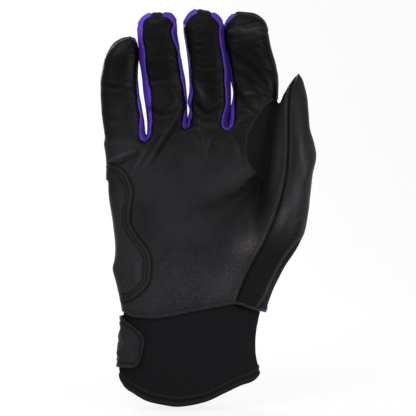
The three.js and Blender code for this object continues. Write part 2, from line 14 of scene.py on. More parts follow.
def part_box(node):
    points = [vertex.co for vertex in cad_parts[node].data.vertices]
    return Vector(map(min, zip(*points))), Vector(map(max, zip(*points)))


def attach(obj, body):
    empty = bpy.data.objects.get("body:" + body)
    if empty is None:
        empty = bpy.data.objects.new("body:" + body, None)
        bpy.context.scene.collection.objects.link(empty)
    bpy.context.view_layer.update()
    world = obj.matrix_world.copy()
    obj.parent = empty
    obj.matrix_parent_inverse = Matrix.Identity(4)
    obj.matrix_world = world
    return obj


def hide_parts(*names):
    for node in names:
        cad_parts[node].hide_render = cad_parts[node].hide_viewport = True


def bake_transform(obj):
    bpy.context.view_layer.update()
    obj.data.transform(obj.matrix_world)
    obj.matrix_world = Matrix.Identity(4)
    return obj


bl_info = {
    "name": "Batting glove",
    "version": (1, 0, 0),
    "blender": (4, 5, 0),
    "location": "3D View > Sidebar > Glove",
    "description": "Builds a leather batting glove round its CAD frame",
    "category": "Object",
}

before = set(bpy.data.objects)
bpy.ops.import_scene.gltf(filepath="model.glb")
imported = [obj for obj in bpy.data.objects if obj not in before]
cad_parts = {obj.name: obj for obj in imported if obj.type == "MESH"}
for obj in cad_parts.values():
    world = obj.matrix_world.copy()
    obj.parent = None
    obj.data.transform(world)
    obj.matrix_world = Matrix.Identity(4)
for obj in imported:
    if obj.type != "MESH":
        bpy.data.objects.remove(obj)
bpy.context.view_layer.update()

MM = 0.001

# Lanes: the hand is worked out in a straightened width u, where every finger is
# LANE wide and LANE_GAP apart, so that neighbouring fingers never run together.
LANE = 26.0
LANE_GAP = 4.0
LANE_PITCH = LANE + LANE_GAP
LANE_EDGES_U = np.array([k * LANE_PITCH + e for k in range(4) for e in (0.0, LANE)])
HAND_U = LANE_EDGES_U[-1]
LANE_Z = [40, 57, 75, 81, 87.5, 93, 98, 115, 135, 155, 172, 183, 188.5, 194, 200, 208, 216, 221,
          228, 240, 252, 265]
LANE_EDGES_X = [
    [-43, -42.6, -45.5, -47, -48.4, -47.3, -46.8, -48.2, -50.9, -51.2, -53.8, -55.3, -55.9, -56.2,
     -56.3, -56.2, -55, -53.9, -52, -49, -46.5, -44],
    [-22.4, -22.4, -24, -24.2, -24.4, -24.6, -24.8, -26, -28.6, -28.8, -27.8, -29, -30, -30.9,
     -31.9, -32.7, -32.6, -32.2, -32.3, -33.2, -34.5, -36],
    [-20.7, -20.7, -22.3, -22.5, -22.7, -22.9, -23.1, -24.3, -26.9, -27, -26.2, -26.7, -27.3,
     -28.2, -29.1, -29.8, -30.9, -31.95, -32.1, -33, -32.9, -32.7],
    [0.3, 0.3, 0.3, 0.3, 0.2, 0.2, 0.1, -1, -3.3, -2, -1.3, -1, -1.1, -1.1, -1.5, -2.6, -4.1,
     -4.9, -6, -7.7, -7.7, -8],
    [2, 2, 2, 1.9, 1.9, 1.8, 1.7, 0.6, -1.7, -1.2, -0.9, -0.6, 0.2, -0.7, 0.3, 0.1, -0.4, -0.9,
     -1.8, -3.6, -3.6, -3.7],
    [23, 23, 24.4, 24.6, 24.8, 24.9, 25, 23.9, 21.5, 23.4, 25.2, 25.7, 26.2, 26.7, 26.75, 26.55,
     25.4, 24.5, 23.4, 22.4, 22.2, 22.2],
    [24.7, 24.7, 26.1, 26.3, 26.5, 26.6, 26.7, 25.6, 23.3, 24.2, 25.6, 25.85, 26.35, 27.5, 28.2,
     26.7, 25.55, 24.65, 23.55, 22.55, 22.5, 22.5],
    [46, 46, 49, 49.3, 49.7, 49.9, 50, 49, 47, 49, 52, 54, 55.2, 56.3, 57.1, 57.1, 55.9, 54.7,
     52.5, 50.5, 50.4, 50.4],
]

FINGERS = ["little", "ring", "middle", "index"]
FINGER_HALF_DEPTH = [9.4, 10.7, 10.7, 10.7]
TIP_S = [-1, -0.75, -0.45, 0, 0.4, 0.75, 1]
TIP_Z = [
    [227.5, 230.6, 233, 235, 235.4, 235.2, 233.6],
    [248, 249.4, 250.6, 251, 251, 251.3, 250.4],
    [249.3, 251.3, 252.8, 252.4, 251.2, 250.1, 248.6],
    [247, 249.4, 251.2, 251.4, 250.4, 248, 246.6],
]
# Upper edge of each finger's front leather, against the place across the finger.
ARCH_S = [
    [-1, -0.7, -0.4, 0, 0.3, 0.54, 0.82, 0.95],
    [-0.8, -0.55, -0.36, -0.15, 0.05, 0.26, 0.41, 0.6, 0.8],
    [-0.9, -0.81, -0.66, -0.41, -0.17, 0.08, 0.325, 0.47, 0.7],
    [-0.95, -0.83, -0.73, -0.6, -0.46, -0.23, 0.18, 0.46, 0.73, 0.92],
]
ARCH_Z = [
    [221, 228.3, 231.6, 233.8, 234.4, 234.1, 232.4, 229.5],
    [242.5, 246, 248, 249, 249.2, 248.7, 248.1, 247, 244.5],
    [243, 245, 247.3, 249.3, 250, 250.1, 249.2, 248, 244.3],
    [241.5, 245, 246.5, 248.3, 249.3, 250, 250, 248.4, 244.6, 238],
]
TIP_DOME = 5.0
TIP_ROUND = 7.0
SECTION_POWER = 2.5

# Edges of the finger leathers on both sides of each gap, seen from the palm, and the gaps' floors.
LEATHER_Z = [169, 173, 177, 181, 185, 189, 193, 197, 201, 205, 209, 213, 217, 221, 225, 229, 233,
             238, 243, 247, 255]
LEATHER_X = [
    [-31.8, -31.3, -31.4, -31, -31, -31.8, -32.3, -32.3, -32.8, -32.9, -32.9, -32.7, -32.4, -32.2,
     -30.8, -31, -32, -34.2, -35, -35, -35],
    [-25.2, -24.1, -23.8, -23.1, -23.4, -24, -24, -24.1, -24.6, -25.8, -26.2, -27.2, -27.4, -27.6,
     -27.9, -28.7, -29.5, -29.3, -29.2, -27.5, -26],
    [-4, -4, -4.1, -3.2, -2.5, -1.5, -1.4, -2.1, -2.7, -3.5, -4.8, -5.1, -5.7, -6.2, -6.2, -7.9,
     -9.6, -10.5, -9.3, -10.3, -12.5],
    [0.3, 0.3, 0.6, 0.4, 1.5, 1, 1, 1.6, 2, 1.2, 1, 0.8, -0.4, -0.5, -1.6, -2.8, -3.1, -4.3, -4.3,
     -2.8, -0.8],
    [20.8, 20.8, 20.6, 21, 21.6, 22.9, 23.7, 23.6, 23.4, 22.9, 22.8, 22.8, 22.2, 21.4, 20.9, 19.9,
     19.5, 19.3, 19.3, 15.9, 14],
    [26, 26, 27.5, 28.2, 28.6, 28.5, 28.4, 28.4, 28.4, 28, 27.3, 26.8, 26.2, 25.5, 24.5, 23.5,
     22.3, 22.7, 24, 26, 29],
]
GAP_FLOOR_Z = [168, 176.6, 175.2]
GAP_FLOOR_ROUND = [6, 3, 5]

# The stretch walls, two to each gap: place, reach over the fingertip, and the painted shade that
# darkens them between the fingers.
WALL_U = [LANE, LANE_PITCH, LANE_PITCH + LANE, 2 * LANE_PITCH, 2 * LANE_PITCH + LANE,
          3 * LANE_PITCH]
WALL_SEAM_BACK = 6.5
WALL_CORNER = [7.2, 11, 11.7, 12.2, 8.9, 8]
WALL_DARK_Z = [176, 190, 206, 222, 231, 238, 250]
WALL_DARK = [
    [0.8, 0.66, 0.66, 0.66, 0.56, 0.42, 0.19],
    [0.47, 0.47, 0.66, 0.84, 0.7, 0.1, 0],
    [0.75, 0.8, 0.82, 0.8, 0.84, 0.84, 0.56],
    [0.56, 0.47, 0.6, 0.65, 0.56, 0.42, 0.33],
    [1, 1, 1, 1, 1, 1, 0.5],
    [0.8, 0.5, 0, 0, 0, 0, 0.1],
]

PALM_DEPTH_Z = [40, 57, 75, 100, 140, 160, 178, 192, 265]
PALM_DEPTH = [11.8, 12.6, 14.6, 16.3, 15.6, 14.2, 12.6, 11.4, 10.6]
CROTCH_U = [0, 28, 58, 88, HAND_U]
CROTCH_Z = [168, 171.2, 178.6, 178.8, 192.5]
CROTCH_SLOPE = [2.6, 2.6, 1, 0.7, 2.6]
CREASE_U = [0, 28, 58, 88, HAND_U]
CREASE_Z = [168, 172, 180, 179, 188]

THUMB_Z = [45, 57, 62, 71.5, 85, 107, 125, 134, 147, 160, 166, 176, 187, 196, 204, 208, 211]
THUMB_LEFT = [30, 31.5, 32.3, 34, 36, 40, 44.5, 46.5, 48.5, 51.4, 52.2, 53.3, 55.5, 59, 63.5,
              66.4, 69]
THUMB_RIGHT = [41, 44.6, 46.4, 50.6, 58.9, 71.9, 75.6, 76.5, 78.1, 80.5, 79.5, 76.8, 75.9, 74.9,
               73, 71.7, 69.7]
THUMB_Y = [-2, -3, -3.5, -4.6, -6, -9, -10, -10, -10, -9.4, -9, -8.6, -8, -7.4, -6.8, -6.4, -6]
THUMB_DEPTH = [10, 11, 11.3, 12, 13, 15, 15.2, 15, 14.4, 13, 12.4, 11.4, 9.6, 7.6, 5.2, 3.6, 1.6]
THUMB_JOIN_Z = [57, 110, 135, 150, 180, 200]
THUMB_JOIN = [11, 11, 9, 8, 5, 2]

HEM_X = [-60, -42, -37.6, -30.3, -22.2, -11.9, 2.8, 17.5, 24.8, 30.7, 39.5, 47.6, 60]
HEM_Z = [62, 61.2, 58.2, 57, 56.8, 58.2, 61.2, 64.1, 65.3, 65.8, 63, 60.9, 60]

SEAM_Z = [45, 65.8, 81.9, 94.3, 105.5, 120.5, 133.6, 149.9, 162.9, 180.9, 193.9, 201.7, 208.3, 214]
SEAM_X = [24, 30.7, 36.9, 43.1, 48.9, 55, 59.1, 62.2, 63.2, 63.5, 64.2, 65.4, 68.6, 70]
# The back fabric comes round the outer side of the thumb's root as far as this line.
WRAP_Z = [60, 66, 69.1, 81.3, 97.9, 106.9, 112]
WRAP_X = [41, 45, 47.2, 52.6, 61.8, 69.3, 75]
BACK_SEAM_Z = [45, 66, 85, 107, 134, 150, 165, 180, 194, 205, 214]
BACK_SEAM_X = [34, 37, 42, 46, 48, 50.5, 52.6, 54.6, 58, 64, 69.4]
FOLD_Z = [45, 65.8, 75, 90, 105, 120, 133.6, 144.6, 156.4, 166, 176, 185.6, 194, 202, 215]
FOLD_X = [23.4, 30, 32, 36, 41, 45, 46.5, 47.8, 51.7, 52.6, 53.3, 55, 58.2, 61, 62]
GUSSET_Z = [143.6, 148, 154.4, 162.9, 171.5, 178.8, 186.2, 192, 195.2, 197]
GUSSET_X = [48.5, 43.5, 38, 36.7, 37.4, 41, 45.4, 49.9, 56.3, 60]

HEEL_PATCH = [(-60, 154.4), (-51.5, 153.9), (-46, 152.6), (-40.8, 149.4), (-36.9, 143.5),
              (-34.9, 137), (-35.5, 130.4), (-36.5, 122.6), (-36.2, 116), (-32.3, 108.9),
              (-27.1, 102.3), (-23.8, 95.8), (-23.5, 87.9), (-24.4, 80), (-28.1, 74.4),
              (-35.5, 68.5), (-41.3, 66.7), (-60, 65.5)]

CUFF_Z = [-2, 8, 18, 24, 30, 41, 52, 59, 62, 70]
CUFF_LEFT = [-43.6, -43.6, -43.6, -43.9, -43.2, -42.3, -41.7, -41.8, -42.2, -42.6]
CUFF_RIGHT = [44, 44, 44, 44.3, 43, 42.5, 43.7, 45.2, 46.2, 46.6]
CUFF_DEPTH = 12.3
CUFF_POWER = 2.5
CUFF_HEM_X = [-46, -44.6, -43.9, -41.3, -34, -26.6, -17, -7.7, 0, 7, 13.1, 21.1, 32.1, 42.4, 44.3,
              46]
CUFF_HEM_Z = [24, 22, 19, 14.2, 8.7, 4.7, 2.4, 1.1, 1.8, 3.2, 5.1, 8.9, 13.9, 17.8, 19.5, 20.5]

# Folds of the worn leather: points (x, z), half width, depth.
FOLDS = [
    ([(-5.5, 181), (-13, 170), (-22, 155)], 1.5, 1.0),
    ([(-20, 170), (-25, 162), (-31, 152)], 1.3, 0.8),
    ([(-4, 177), (-12, 164), (-20, 150)], 2.2, 0.6),
    ([(-52, 154.6), (-44, 153.6), (-36, 157.6), (-30, 160)], 1.0, 0.7),
    ([(-30, 166), (-36, 152), (-38, 146)], 1.8, 0.6),
    ([(2, 176), (7, 168), (9, 156)], 1.8, 0.7),
    ([(22, 174), (15, 167), (12, 156)], 1.8, 0.7),
    ([(27, 173), (32, 166), (34, 152)], 2.2, 0.6),
    ([(-26, 190), (-19, 185), (-12, 186), (-4, 194)], 1.5, 0.8),
    ([(-17, 206), (-11, 200), (-7, 194)], 2.0, -0.6),
    ([(3, 193), (7, 188.5), (12, 185.5), (19, 191)], 1.3, 1.0),
    ([(3, 208), (7, 198), (12, 190)], 2.2, -0.7),
    ([(30, 198), (38, 188), (46, 186)], 1.8, 0.7),
    ([(-55, 203), (-45, 201.5), (-34, 203.5)], 1.3, 0.8),
    ([(-54, 184), (-46, 181), (-38, 183)], 1.6, 0.5),
    ([(-28, 208), (-22, 206.5), (-15, 208)], 1.2, 0.5),
    ([(-24, 221), (-17, 223), (-9, 219)], 1.5, 0.3),
    ([(0, 230), (7, 228.5), (15, 230.5)], 0.9, 0.35),
    ([(3, 224), (11, 222), (19, 223)], 0.9, 0.3),
    ([(3, 217), (9, 214.5), (20, 216)], 1.0, 0.35),
    ([(8, 206), (14, 205), (21, 208)], 1.3, 0.3),
    ([(25, 240), (34, 238), (42, 241), (50, 242)], 1.6, 1.1),
    ([(30, 233), (40, 235), (51, 236)], 1.2, 0.5),
    ([(28, 222), (40, 212), (54, 197)], 2.1, 0.9),
    ([(30, 212), (42, 203), (54, 190)], 1.8, 0.6),
    ([(36, 226), (47, 217), (56, 208)], 1.6, 0.6),
    ([(46.7, 150), (38, 141), (25, 131)], 2.8, 1.2),
    ([(46.5, 141), (37, 132), (28, 126)], 2.4, 1.0),
    ([(46, 157), (38, 149), (28, 141)], 2.6, 0.6),
    ([(48, 131), (40, 121), (31, 116)], 2.8, 0.6),
    ([(70, 199), (73, 180), (72, 160), (67, 140)], 2.6, 0.8),
    ([(68, 128), (74, 118), (70, 106)], 2.4, 0.5),
    ([(58, 190), (59, 172), (58, 152), (54, 138)], 2.0, 0.5),
]

# Soft creases, without much depth, darkened with painted shade: points (x, z), half width,
# darkness.
CREASES = [
    ([(47, 146), (38, 139), (22, 131), (2, 123)], 5.5, 0.75),
    ([(46, 133), (38, 127), (28, 121), (18, 116)], 6.0, 0.6),
    ([(46, 150), (44, 138), (42, 126)], 5.0, 0.6),
    ([(-3, 187), (-9.5, 177), (-17.8, 164), (-24, 154)], 1.9, 1.0),
    ([(-19, 174), (-26, 162), (-33, 150)], 1.2, 0.4),
    ([(-51, 152.8), (-44, 153.8), (-34, 158.6)], 1.0, 0.5),
    ([(15.5, 184), (14.5, 172), (15, 160)], 3.0, 0.35),
    ([(-4, 178), (-8, 160), (-10, 145)], 6.0, 0.35),
    ([(-24, 235), (-14, 234)], 6.0, 0.3),
    ([(2, 236), (16, 236)], 6.0, 0.3),
    ([(-27, 191), (-19, 186), (-12, 186)], 2.4, 0.5),
    ([(4, 192), (12, 186), (19, 191)], 1.8, 0.7),
    ([(66, 171), (66.3, 160), (65, 146)], 2.2, 0.45),
    ([(56, 112), (51, 104), (48, 96)], 3.0, 0.3),
]

# Painted highlights, pale spots and streaks on the leather: middle (x, z), half sizes along and
# across, turn, strength.
PAINTED_HIGHLIGHTS = [
    (38.4, 103.5, 9, 6, 30, 1.0),
    (27, 85, 17, 8, 50, 0.35),
    (71.2, 158.5, 10, 1.6, 95, 0.85),
    (58.6, 122, 11, 3.4, 62, 0.9),
    (67, 138, 8, 3, 75, 0.25),
    (68, 184, 16, 4, 95, 0.12),
    (-44, 188, 18, 8, 95, 0.16),
    (-44, 227, 5, 4, 30, 0.25),
    (-31.3, 85.5, 6, 1.8, 90, 0.35),
    (-41, 116, 22, 6, 90, 0.2),
    (0, 74, 9, 24, 90, 0.15),
    (45, 190, 7, 3, 150, 0.25),
    (44, 178, 14, 7, 110, 0.12),
    (37, 240, 9, 2.2, 5, 0.3),
    (38, 234, 8, 1.6, 10, 0.2),
    (7, 241, 7, 3, 0, 0.14),
    (-20, 197, 12, 9, 0, 0.14),
    (-20, 237, 7, 4, 0, 0.08),
    (8, 199, 9, 3, 115, 0.18),
    (33, 205, 16, 3, 130, 0.12),
]

# Thin raised wrinkles with a painted highlight along them: points (x, z), half width, strength of
# the highlight.
RIDGES = [
    ([(-8, 182.5), (-14.3, 172.8), (-20.7, 162.1), (-28.2, 151)], 0.8, 0.45),
    ([(-25, 164.3), (-30, 157), (-34.6, 150.4)], 0.8, 0.45),
    ([(-52, 155), (-46.3, 157.3), (-40, 160.3), (-33.5, 162.1)], 0.8, 0.75),
    ([(5.5, 182), (8, 172), (9.5, 162), (13, 156)], 1.2, 0.15),
    ([(35, 197.8), (38.5, 198.6), (41.5, 198.2)], 0.8, 0.45),
    ([(41, 203.5), (44.5, 201), (47.5, 198.6)], 0.8, 0.4),
    ([(35.5, 188.3), (38, 187.3), (40.5, 185.3)], 0.8, 0.4),
    ([(50, 191.5), (52.8, 193.6), (55.5, 195)], 0.8, 0.35),
    ([(26, 238.4), (30, 239.6), (36, 238.2), (43, 239.8), (49, 241)], 1.1, 0.7),
    ([(35, 235.8), (42, 237), (50, 236.2)], 0.8, 0.4),
    ([(5.5, 203), (8, 198.5), (9.5, 194.5)], 1.2, 0.25),
]

# Sewn flex channels on the back: points (x, z).
CHANNELS = [
    [(-26, 70), (-29, 110), (-30, 150), (-28, 164)],
    [(0, 68), (-1, 110), (-2, 150), (-1, 172)],
    [(24, 70), (24, 110), (22, 150), (25, 172)],
    [(-50, 150), (-40, 156), (-30, 150), (-16, 160), (-2, 154), (11, 164), (23, 157), (36, 166),
     (50, 160)],
    [(-50, 142), (-40, 148), (-30, 142), (-16, 152), (-2, 146), (11, 156), (23, 149), (36, 158),
     (48, 152)],
    [(-54, 199), (-44, 201), (-34, 199)], [(-54, 205), (-44, 207), (-35, 205)],
    [(-29, 207), (-17, 209), (-5, 207)], [(-30, 213), (-18, 215), (-6, 213)],
    [(0, 211), (13, 213), (25, 211)], [(0, 217), (12, 219), (24, 217)],
    [(28, 208), (42, 210), (56, 208)], [(28, 214), (41, 216), (55, 214)],
]

# How the fingers, the palm and the thumb are tapered, rounded and joined.
FINGER_TAPER = 0.10
TAPER_Z = (205, 252)
FINGERS_FROM = 146
FINGER_JOIN = 4.5
PALM_POWER = 2.6
CROTCH_DEPTH = 8
CROTCH_ROUND = 3.0
THUMB_POWER = 2.2
THUMB_TOP = 210.8
THUMB_ROUND = 1.0
# Mounds and the hollow of the palm: height, middle (x, z), half sizes across and up.
MOUNDS = [(2.6, 31, 104, 17, 26), (1.6, -34, 100, 14, 30), (-2.0, 0, 124, 20, 24)]
MOUND_DEPTH = 8

# The grid that the skin is found on, in u, y and z, and how its points settle on the surface.
GRID_LIMITS = [(-4, HAND_U + 36), (-31, 20), (51, 257)]
SETTLE_PROBE = 0.1
SETTLE_LEAST_SLOPE = 0.3
SETTLE_REACH = 0.6

# Limits of the panels.
GUSSET_TOP = 196.5
WALL_FOOT = 16
LANE_REACH = 1.16
FAR_BELOW = -40.0

# Lift of folds, creases and ridges, and the painted shade in folds (lighter where a fold is
# raised), for each mm or share that their tables give.
FOLD_LIFT = 0.7
FOLD_LIP = 0.55
FOLD_DARK = 0.42
CREASE_DEPTH = 0.3
RIDGE_HEIGHT = 0.3
# Unevenness of the worn skin: place, height, size of its features, shift and seed of its noise.
SWELLS = [
    ("front", 0.42, (22, 30, 15), 0, 3),
    ("front", 0.17, (9, 14, 6.5), 9, 4),
    ("fingers", 0.18, (15, 12, 4.2), 50, 5),
    ("back", 0.30, (16, 20, 12), 5, 6),
]

# How far above its crease a finger begins to turn, and where it has turned.
FINGER_BEND = (0.8, 13)

# Distances of the two stitched rows from the heel patch's edge.
PATCH_SEAMS = (2.6, 4.6)

BEADING_SIDES = 12
# Pitch of a wave texture's bands at a scale of 1.
WAVE_PITCH = 0.314
# Heights in metres between which the pale speckle on the leather fades: dust, and in part painted
# light on the lower palm.
DUST_AND_LIGHT_Z = (0.075, 0.130)
# Places outside the glove from which rays are sent to its skin.
OUTSIDE = 60.0
OUTSIDE_X = 80.0

CUFF_COLUMNS = 360
CUFF_ROWS = 28
STITCHED_HEM_ROWS = [11, 19]

# The strap: its middle and its edges, and its tab's upper and lower edges on the palm as (x, z).
STRAP_MIDDLE = 41
STRAP_Z = (25.2, 57.2)
TAB_TOP = [(-43.6, 57.2), (-42.4, 56.8), (-36, 52.2), (-30, 47.6), (-28.3, 45.6), (-27.4, 43)]
TAB_LOW = [(-43.6, 24.9), (-36, 25.0), (-33.9, 25.2), (-32.2, 25.9), (-30.6, 27), (-29.5, 28.4),
           (-28.8, 30.4), (-28.2, 34), (-27.4, 40)]
TAB_BORDER = 1.1
TAB_BORDER_Z = (26.1, 56.1)
TAB_GROOVE = 2.8
# Creases of the tab's leather: height, size of their features and seed of their noise.
TAB_CREASES = [(0.6, (4.5, 9, 5), 11), (0.35, (2.2, 9, 2.6), 12)]

# The camera and the lamps, in metres: name, place, size and power of each lamp.
CAMERA_PLACE = (0.01216, -0.7389, 0.1261)
LAMPS = [
    ("key", (-0.75, -1.0, 0.75), 0.6, 5.0),
    ("fill", (0.58, -0.60, 0.16), 0.35, 5.0),
    ("top", (-0.1, -0.55, 1.0), 0.35, 4.0),
    ("rear", (-0.5, 1.0, 0.7), 0.6, 12.0),
]
LAMP_AIM = (0.012, 0, 0.13)
WORLD_LIGHT = 0.3

# The floor and the backdrop that it curves up into.
FLOOR_Z = -1.5
FLOOR_FRONT = -3000
FLOOR_HALF_WIDTH = 2500
SWEEP_Y = 700
SWEEP_RADIUS = 500
BACKDROP_TOP = 2600


def through(knots, values, at):
    """A smooth cubic through the pairs (knot, value), worked out at every number in at."""
    knots = np.asarray(knots, float)
    values = np.asarray(values, float)
    slopes = np.gradient(values, knots)
    at = np.clip(at, knots[0], knots[-1])
    i = np.clip(np.searchsorted(knots, at, side="right") - 1, 0, len(knots) - 2)
    span = knots[i + 1] - knots[i]
    t = (at - knots[i]) / span
    return (
        (2 * t**3 - 3 * t**2 + 1) * values[i]
        + (t**3 - 2 * t**2 + t) * slopes[i] * span
        + (-2 * t**3 + 3 * t**2) * values[i + 1]
        + (t**3 - t**2) * slopes[i + 1] * span
    )


def ramp(value, low, high):
    """0 below low, 1 above high, smooth between."""
    t = np.clip((value - low) / (high - low), 0, 1)
    return t * t * (3 - 2 * t)


def bell(value, width):
    return np.exp(-((value / width) ** 2))


def join(a, b, radius):
    """Union of two solids' fields, rounded where they meet."""
    h = np.maximum(radius - np.abs(a - b), 0) / radius
    return np.minimum(a, b) - h * h * radius * 0.25


def cut(a, b, radius):
    return -join(-a, -b, radius)


def smooth_noise(points, size, seed):
    """Seeded noise from -1 to 1 over points, with features about size across."""
    lattice = np.random.RandomState(seed).uniform(-1, 1, (48, 48, 48))
    p = points / np.asarray(size, float) + 1000.0
    cell = np.floor(p).astype(int)
    f = p - cell
    f = f * f * (3 - 2 * f)
    total = 0
    for dx in (0, 1):
        for dy in (0, 1):
            for dz in (0, 1):
                weight = 1
                for axis, d in enumerate((dx, dy, dz)):
                    weight = weight * (f[:, axis] if d else 1 - f[:, axis])
                corner = (cell + (dx, dy, dz)) % 48
                total = total + weight * lattice[corner[:, 0], corner[:, 1], corner[:, 2]]
    return total


# The hand's solid


def real_x(u, z):
    """The place across the hand, in mm, of a straightened width u at height z."""
    edges = [through(LANE_Z, row, z) for row in LANE_EDGES_X]
    x = edges[0] + np.minimum(u, 0)
    for k in range(len(edges) - 1):
        low, high = LANE_EDGES_U[k], LANE_EDGES_U[k + 1]
        x = x + np.clip((u - low) / (high - low), 0, 1) * (edges[k + 1] - edges[k])
    return x + np.maximum(u - HAND_U, 0)


def across_finger(k, u):
    """The place across finger k of a width u: from -1 to 1."""
    return (u - k * LANE_PITCH - LANE / 2) / (LANE / 2)


def gap_middle(k):
    """The width u in the middle of the gap after finger k."""
    return (k + 1) * LANE_PITCH - LANE_GAP / 2


def middle_and_half(knots, left, right, z):
    """The middle and the half width, at height z, of what lies between two edges."""
    low, high = through(knots, left, z), through(knots, right, z)
    return (low + high) / 2, (high - low) / 2


def lens(across, deep, half_width, half_depth, power=SECTION_POWER):
    """Distance-like field of a rounded oval tube."""
    a = np.abs(across / half_width)
    b = np.abs(deep / half_depth)
    q = np.maximum((a**power + b**power) ** (1 / power), 1e-4)
    steep = np.hypot((a / q) ** (power - 1) / half_width, (b / q) ** (power - 1) / half_depth)
    return (q - 1) / np.maximum(steep, 0.5 / half_depth)


def finger_field(k, u, y, z):
    s = across_finger(k, u)
    depth = FINGER_HALF_DEPTH[k]
    taper = 1 - FINGER_TAPER * ramp(z, *TAPER_Z)
    tube = lens(s * LANE / 2, y, LANE / 2, depth * taper)
    tip = through(TIP_S, TIP_Z[k], np.clip(s, -1, 1)) - TIP_DOME * (y / depth) ** 2
    return cut(tube, z - tip, TIP_ROUND)


def palm_field(u, x, y, z):
    mound = sum(height * bell(x - across, wide) * bell(z - up, tall)
                for height, across, up, wide, tall in MOUNDS)
    y = y + mound * ramp(-y, 0, MOUND_DEPTH)
    middle, half = middle_and_half(LANE_Z, LANE_EDGES_X[0], LANE_EDGES_X[-1], z)
    slab = lens(x - middle, y, half, through(PALM_DEPTH_Z, PALM_DEPTH, z), PALM_POWER)
    slope = np.interp(u, CROTCH_U, CROTCH_SLOPE)
    top = np.interp(u, CROTCH_U, CROTCH_Z) - slope * np.abs(y / CROTCH_DEPTH) ** 1.5
    return cut(slab, z - top, CROTCH_ROUND)


def thumb_field(x, y, z):
    middle, half = middle_and_half(THUMB_Z, THUMB_LEFT, THUMB_RIGHT, z)
    depth = through(THUMB_Z, THUMB_DEPTH, z)
    tube = lens(x - middle, y - through(THUMB_Z, THUMB_Y, z), half, depth, THUMB_POWER)
    return cut(tube, z - THUMB_TOP, THUMB_ROUND)


def glove_field(points):
    """Field of the whole gloved hand at points (u, y, z): negative inside."""
    u, y, z = points
    x = real_x(u, z)
    field = palm_field(u, x, y, z)
    for k in range(len(FINGERS)):
        field = join(field, np.maximum(finger_field(k, u, y, z), FINGERS_FROM - z), FINGER_JOIN)
    return join(field, thumb_field(x, y, z), through(THUMB_JOIN_Z, THUMB_JOIN, z))


def cell_points(values):
    """The grid cells that the surface crosses, and in each the mean of its edges' crossings."""
    inside = values < 0
    corners = list(np.ndindex(2, 2, 2))
    count = np.zeros([n - 1 for n in values.shape], np.int8)
    for c in corners:
        count += inside[tuple(slice(k, n - 1 + k) for k, n in zip(c, values.shape))]
    cells = np.argwhere((count > 0) & (count < 8))
    at = {c: values[tuple((cells + c).T)] for c in corners}
    total, crossings = np.zeros((len(cells), 3)), np.zeros(len(cells))
    for c in corners:
        for axis in range(3):
            if c[axis]:
                continue
            d = tuple(1 if a == axis else c[a] for a in range(3))
            crossed = (at[c] < 0) != (at[d] < 0)
            t = np.where(crossed, at[c] / np.where(crossed, at[c] - at[d], 1), 0)
            place = np.tile(np.array(c, float), (len(cells), 1))
            place[:, axis] += t
            total += place * crossed[:, None]
            crossings += crossed
    return cells, cells + total / crossings[:, None]


def cell_triangles(inside, cells):
    """Two triangles between the four cells round each grid edge that the surface crosses."""
    shape = inside.shape
    index = np.full([n - 1 for n in shape], -1)
    index[tuple(cells.T)] = np.arange(len(cells))
    triangles = []
    for axis in range(3):
        b, c = (axis + 1) % 3, (axis + 2) % 3
        low = [slice(1, n - 1) for n in shape]
        high = list(low)
        low[axis], high[axis] = slice(0, shape[axis] - 1), slice(1, shape[axis])
        start, end = inside[tuple(low)], inside[tuple(high)]
        edges = np.argwhere(start != end)
        out = start[tuple(edges.T)]
        edges[:, b] += 1
        edges[:, c] += 1
        ring = []
        for db, dc in ((-1, -1), (0, -1), (0, 0), (-1, 0)):
            near = edges.copy()
            near[:, b] += db
            near[:, c] += dc
            ring.append(index[tuple(near.T)])
        ring = np.array(ring).T
        ring[~out] = ring[~out][:, ::-1]
        ring = ring[(ring >= 0).all(1)]
        triangles += [ring[:, [0, 1, 2]], ring[:, [0, 2, 3]]]
    return np.concatenate(triangles)


def skin_grid(step):
    """Surface of the glove's field, as points (u, y, z) and triangles."""
    axes = [np.arange(low, high, step) for low, high in GRID_LIMITS]
    y, z = np.meshgrid(axes[1], axes[2], indexing="ij")
    values = np.array([glove_field((np.full_like(y, u), y, z)) for u in axes[0]])
    cells, points = cell_points(values)
    return points * step + [a[0] for a in axes], cell_triangles(values < 0, cells)


def settle(points, rounds=3):
    """Moves points onto the field's zero surface."""
    for _ in range(rounds):
        slope = np.empty_like(points)
        for axis in range(3):
            ahead, behind = points.copy(), points.copy()
            ahead[:, axis] += SETTLE_PROBE
            behind[:, axis] -= SETTLE_PROBE
            rise = glove_field(ahead.T) - glove_field(behind.T)
            slope[:, axis] = rise / (2 * SETTLE_PROBE)
        steepness = np.maximum((slope**2).sum(1), SETTLE_LEAST_SLOPE**2)
        move = -(glove_field(points.T) / steepness)[:, None] * slope
        reach = np.linalg.norm(move, axis=1, keepdims=True)
        points = points + move * np.minimum(1, SETTLE_REACH / np.maximum(reach, 1e-9))
    return points


def unit(vectors):
    """Vectors of length 1 in the same directions."""
    return vectors / np.maximum(np.linalg.norm(vectors, axis=1, keepdims=True), 1e-12)


def vertex_normals(points, triangles):
    a, b, c = (points[triangles[:, i]] for i in range(3))
    face = np.cross(b - a, c - a)
    normals = np.zeros_like(points)
    for i in range(3):
        np.add.at(normals, triangles[:, i], face)
    return unit(normals)


# Lines and outlines


def distance_to_path(x, z, path):
    """Distance in the x-z plane to a polyline, and how far along it, from 0 to 1."""
    best, where = np.full(len(x), 1e9), np.zeros(len(x))
    for i in range(len(path) - 1):
        ax, az = path[i]
        bx, bz = path[i + 1]
        length = (bx - ax) ** 2 + (bz - az) ** 2
        t = np.clip(((x - ax) * (bx - ax) + (z - az) * (bz - az)) / length, 0, 1)
        d = np.hypot(x - ax - t * (bx - ax), z - az - t * (bz - az))
        where = np.where(d < best, (i + t) / (len(path) - 1), where)
        best = np.minimum(best, d)
    return best, where


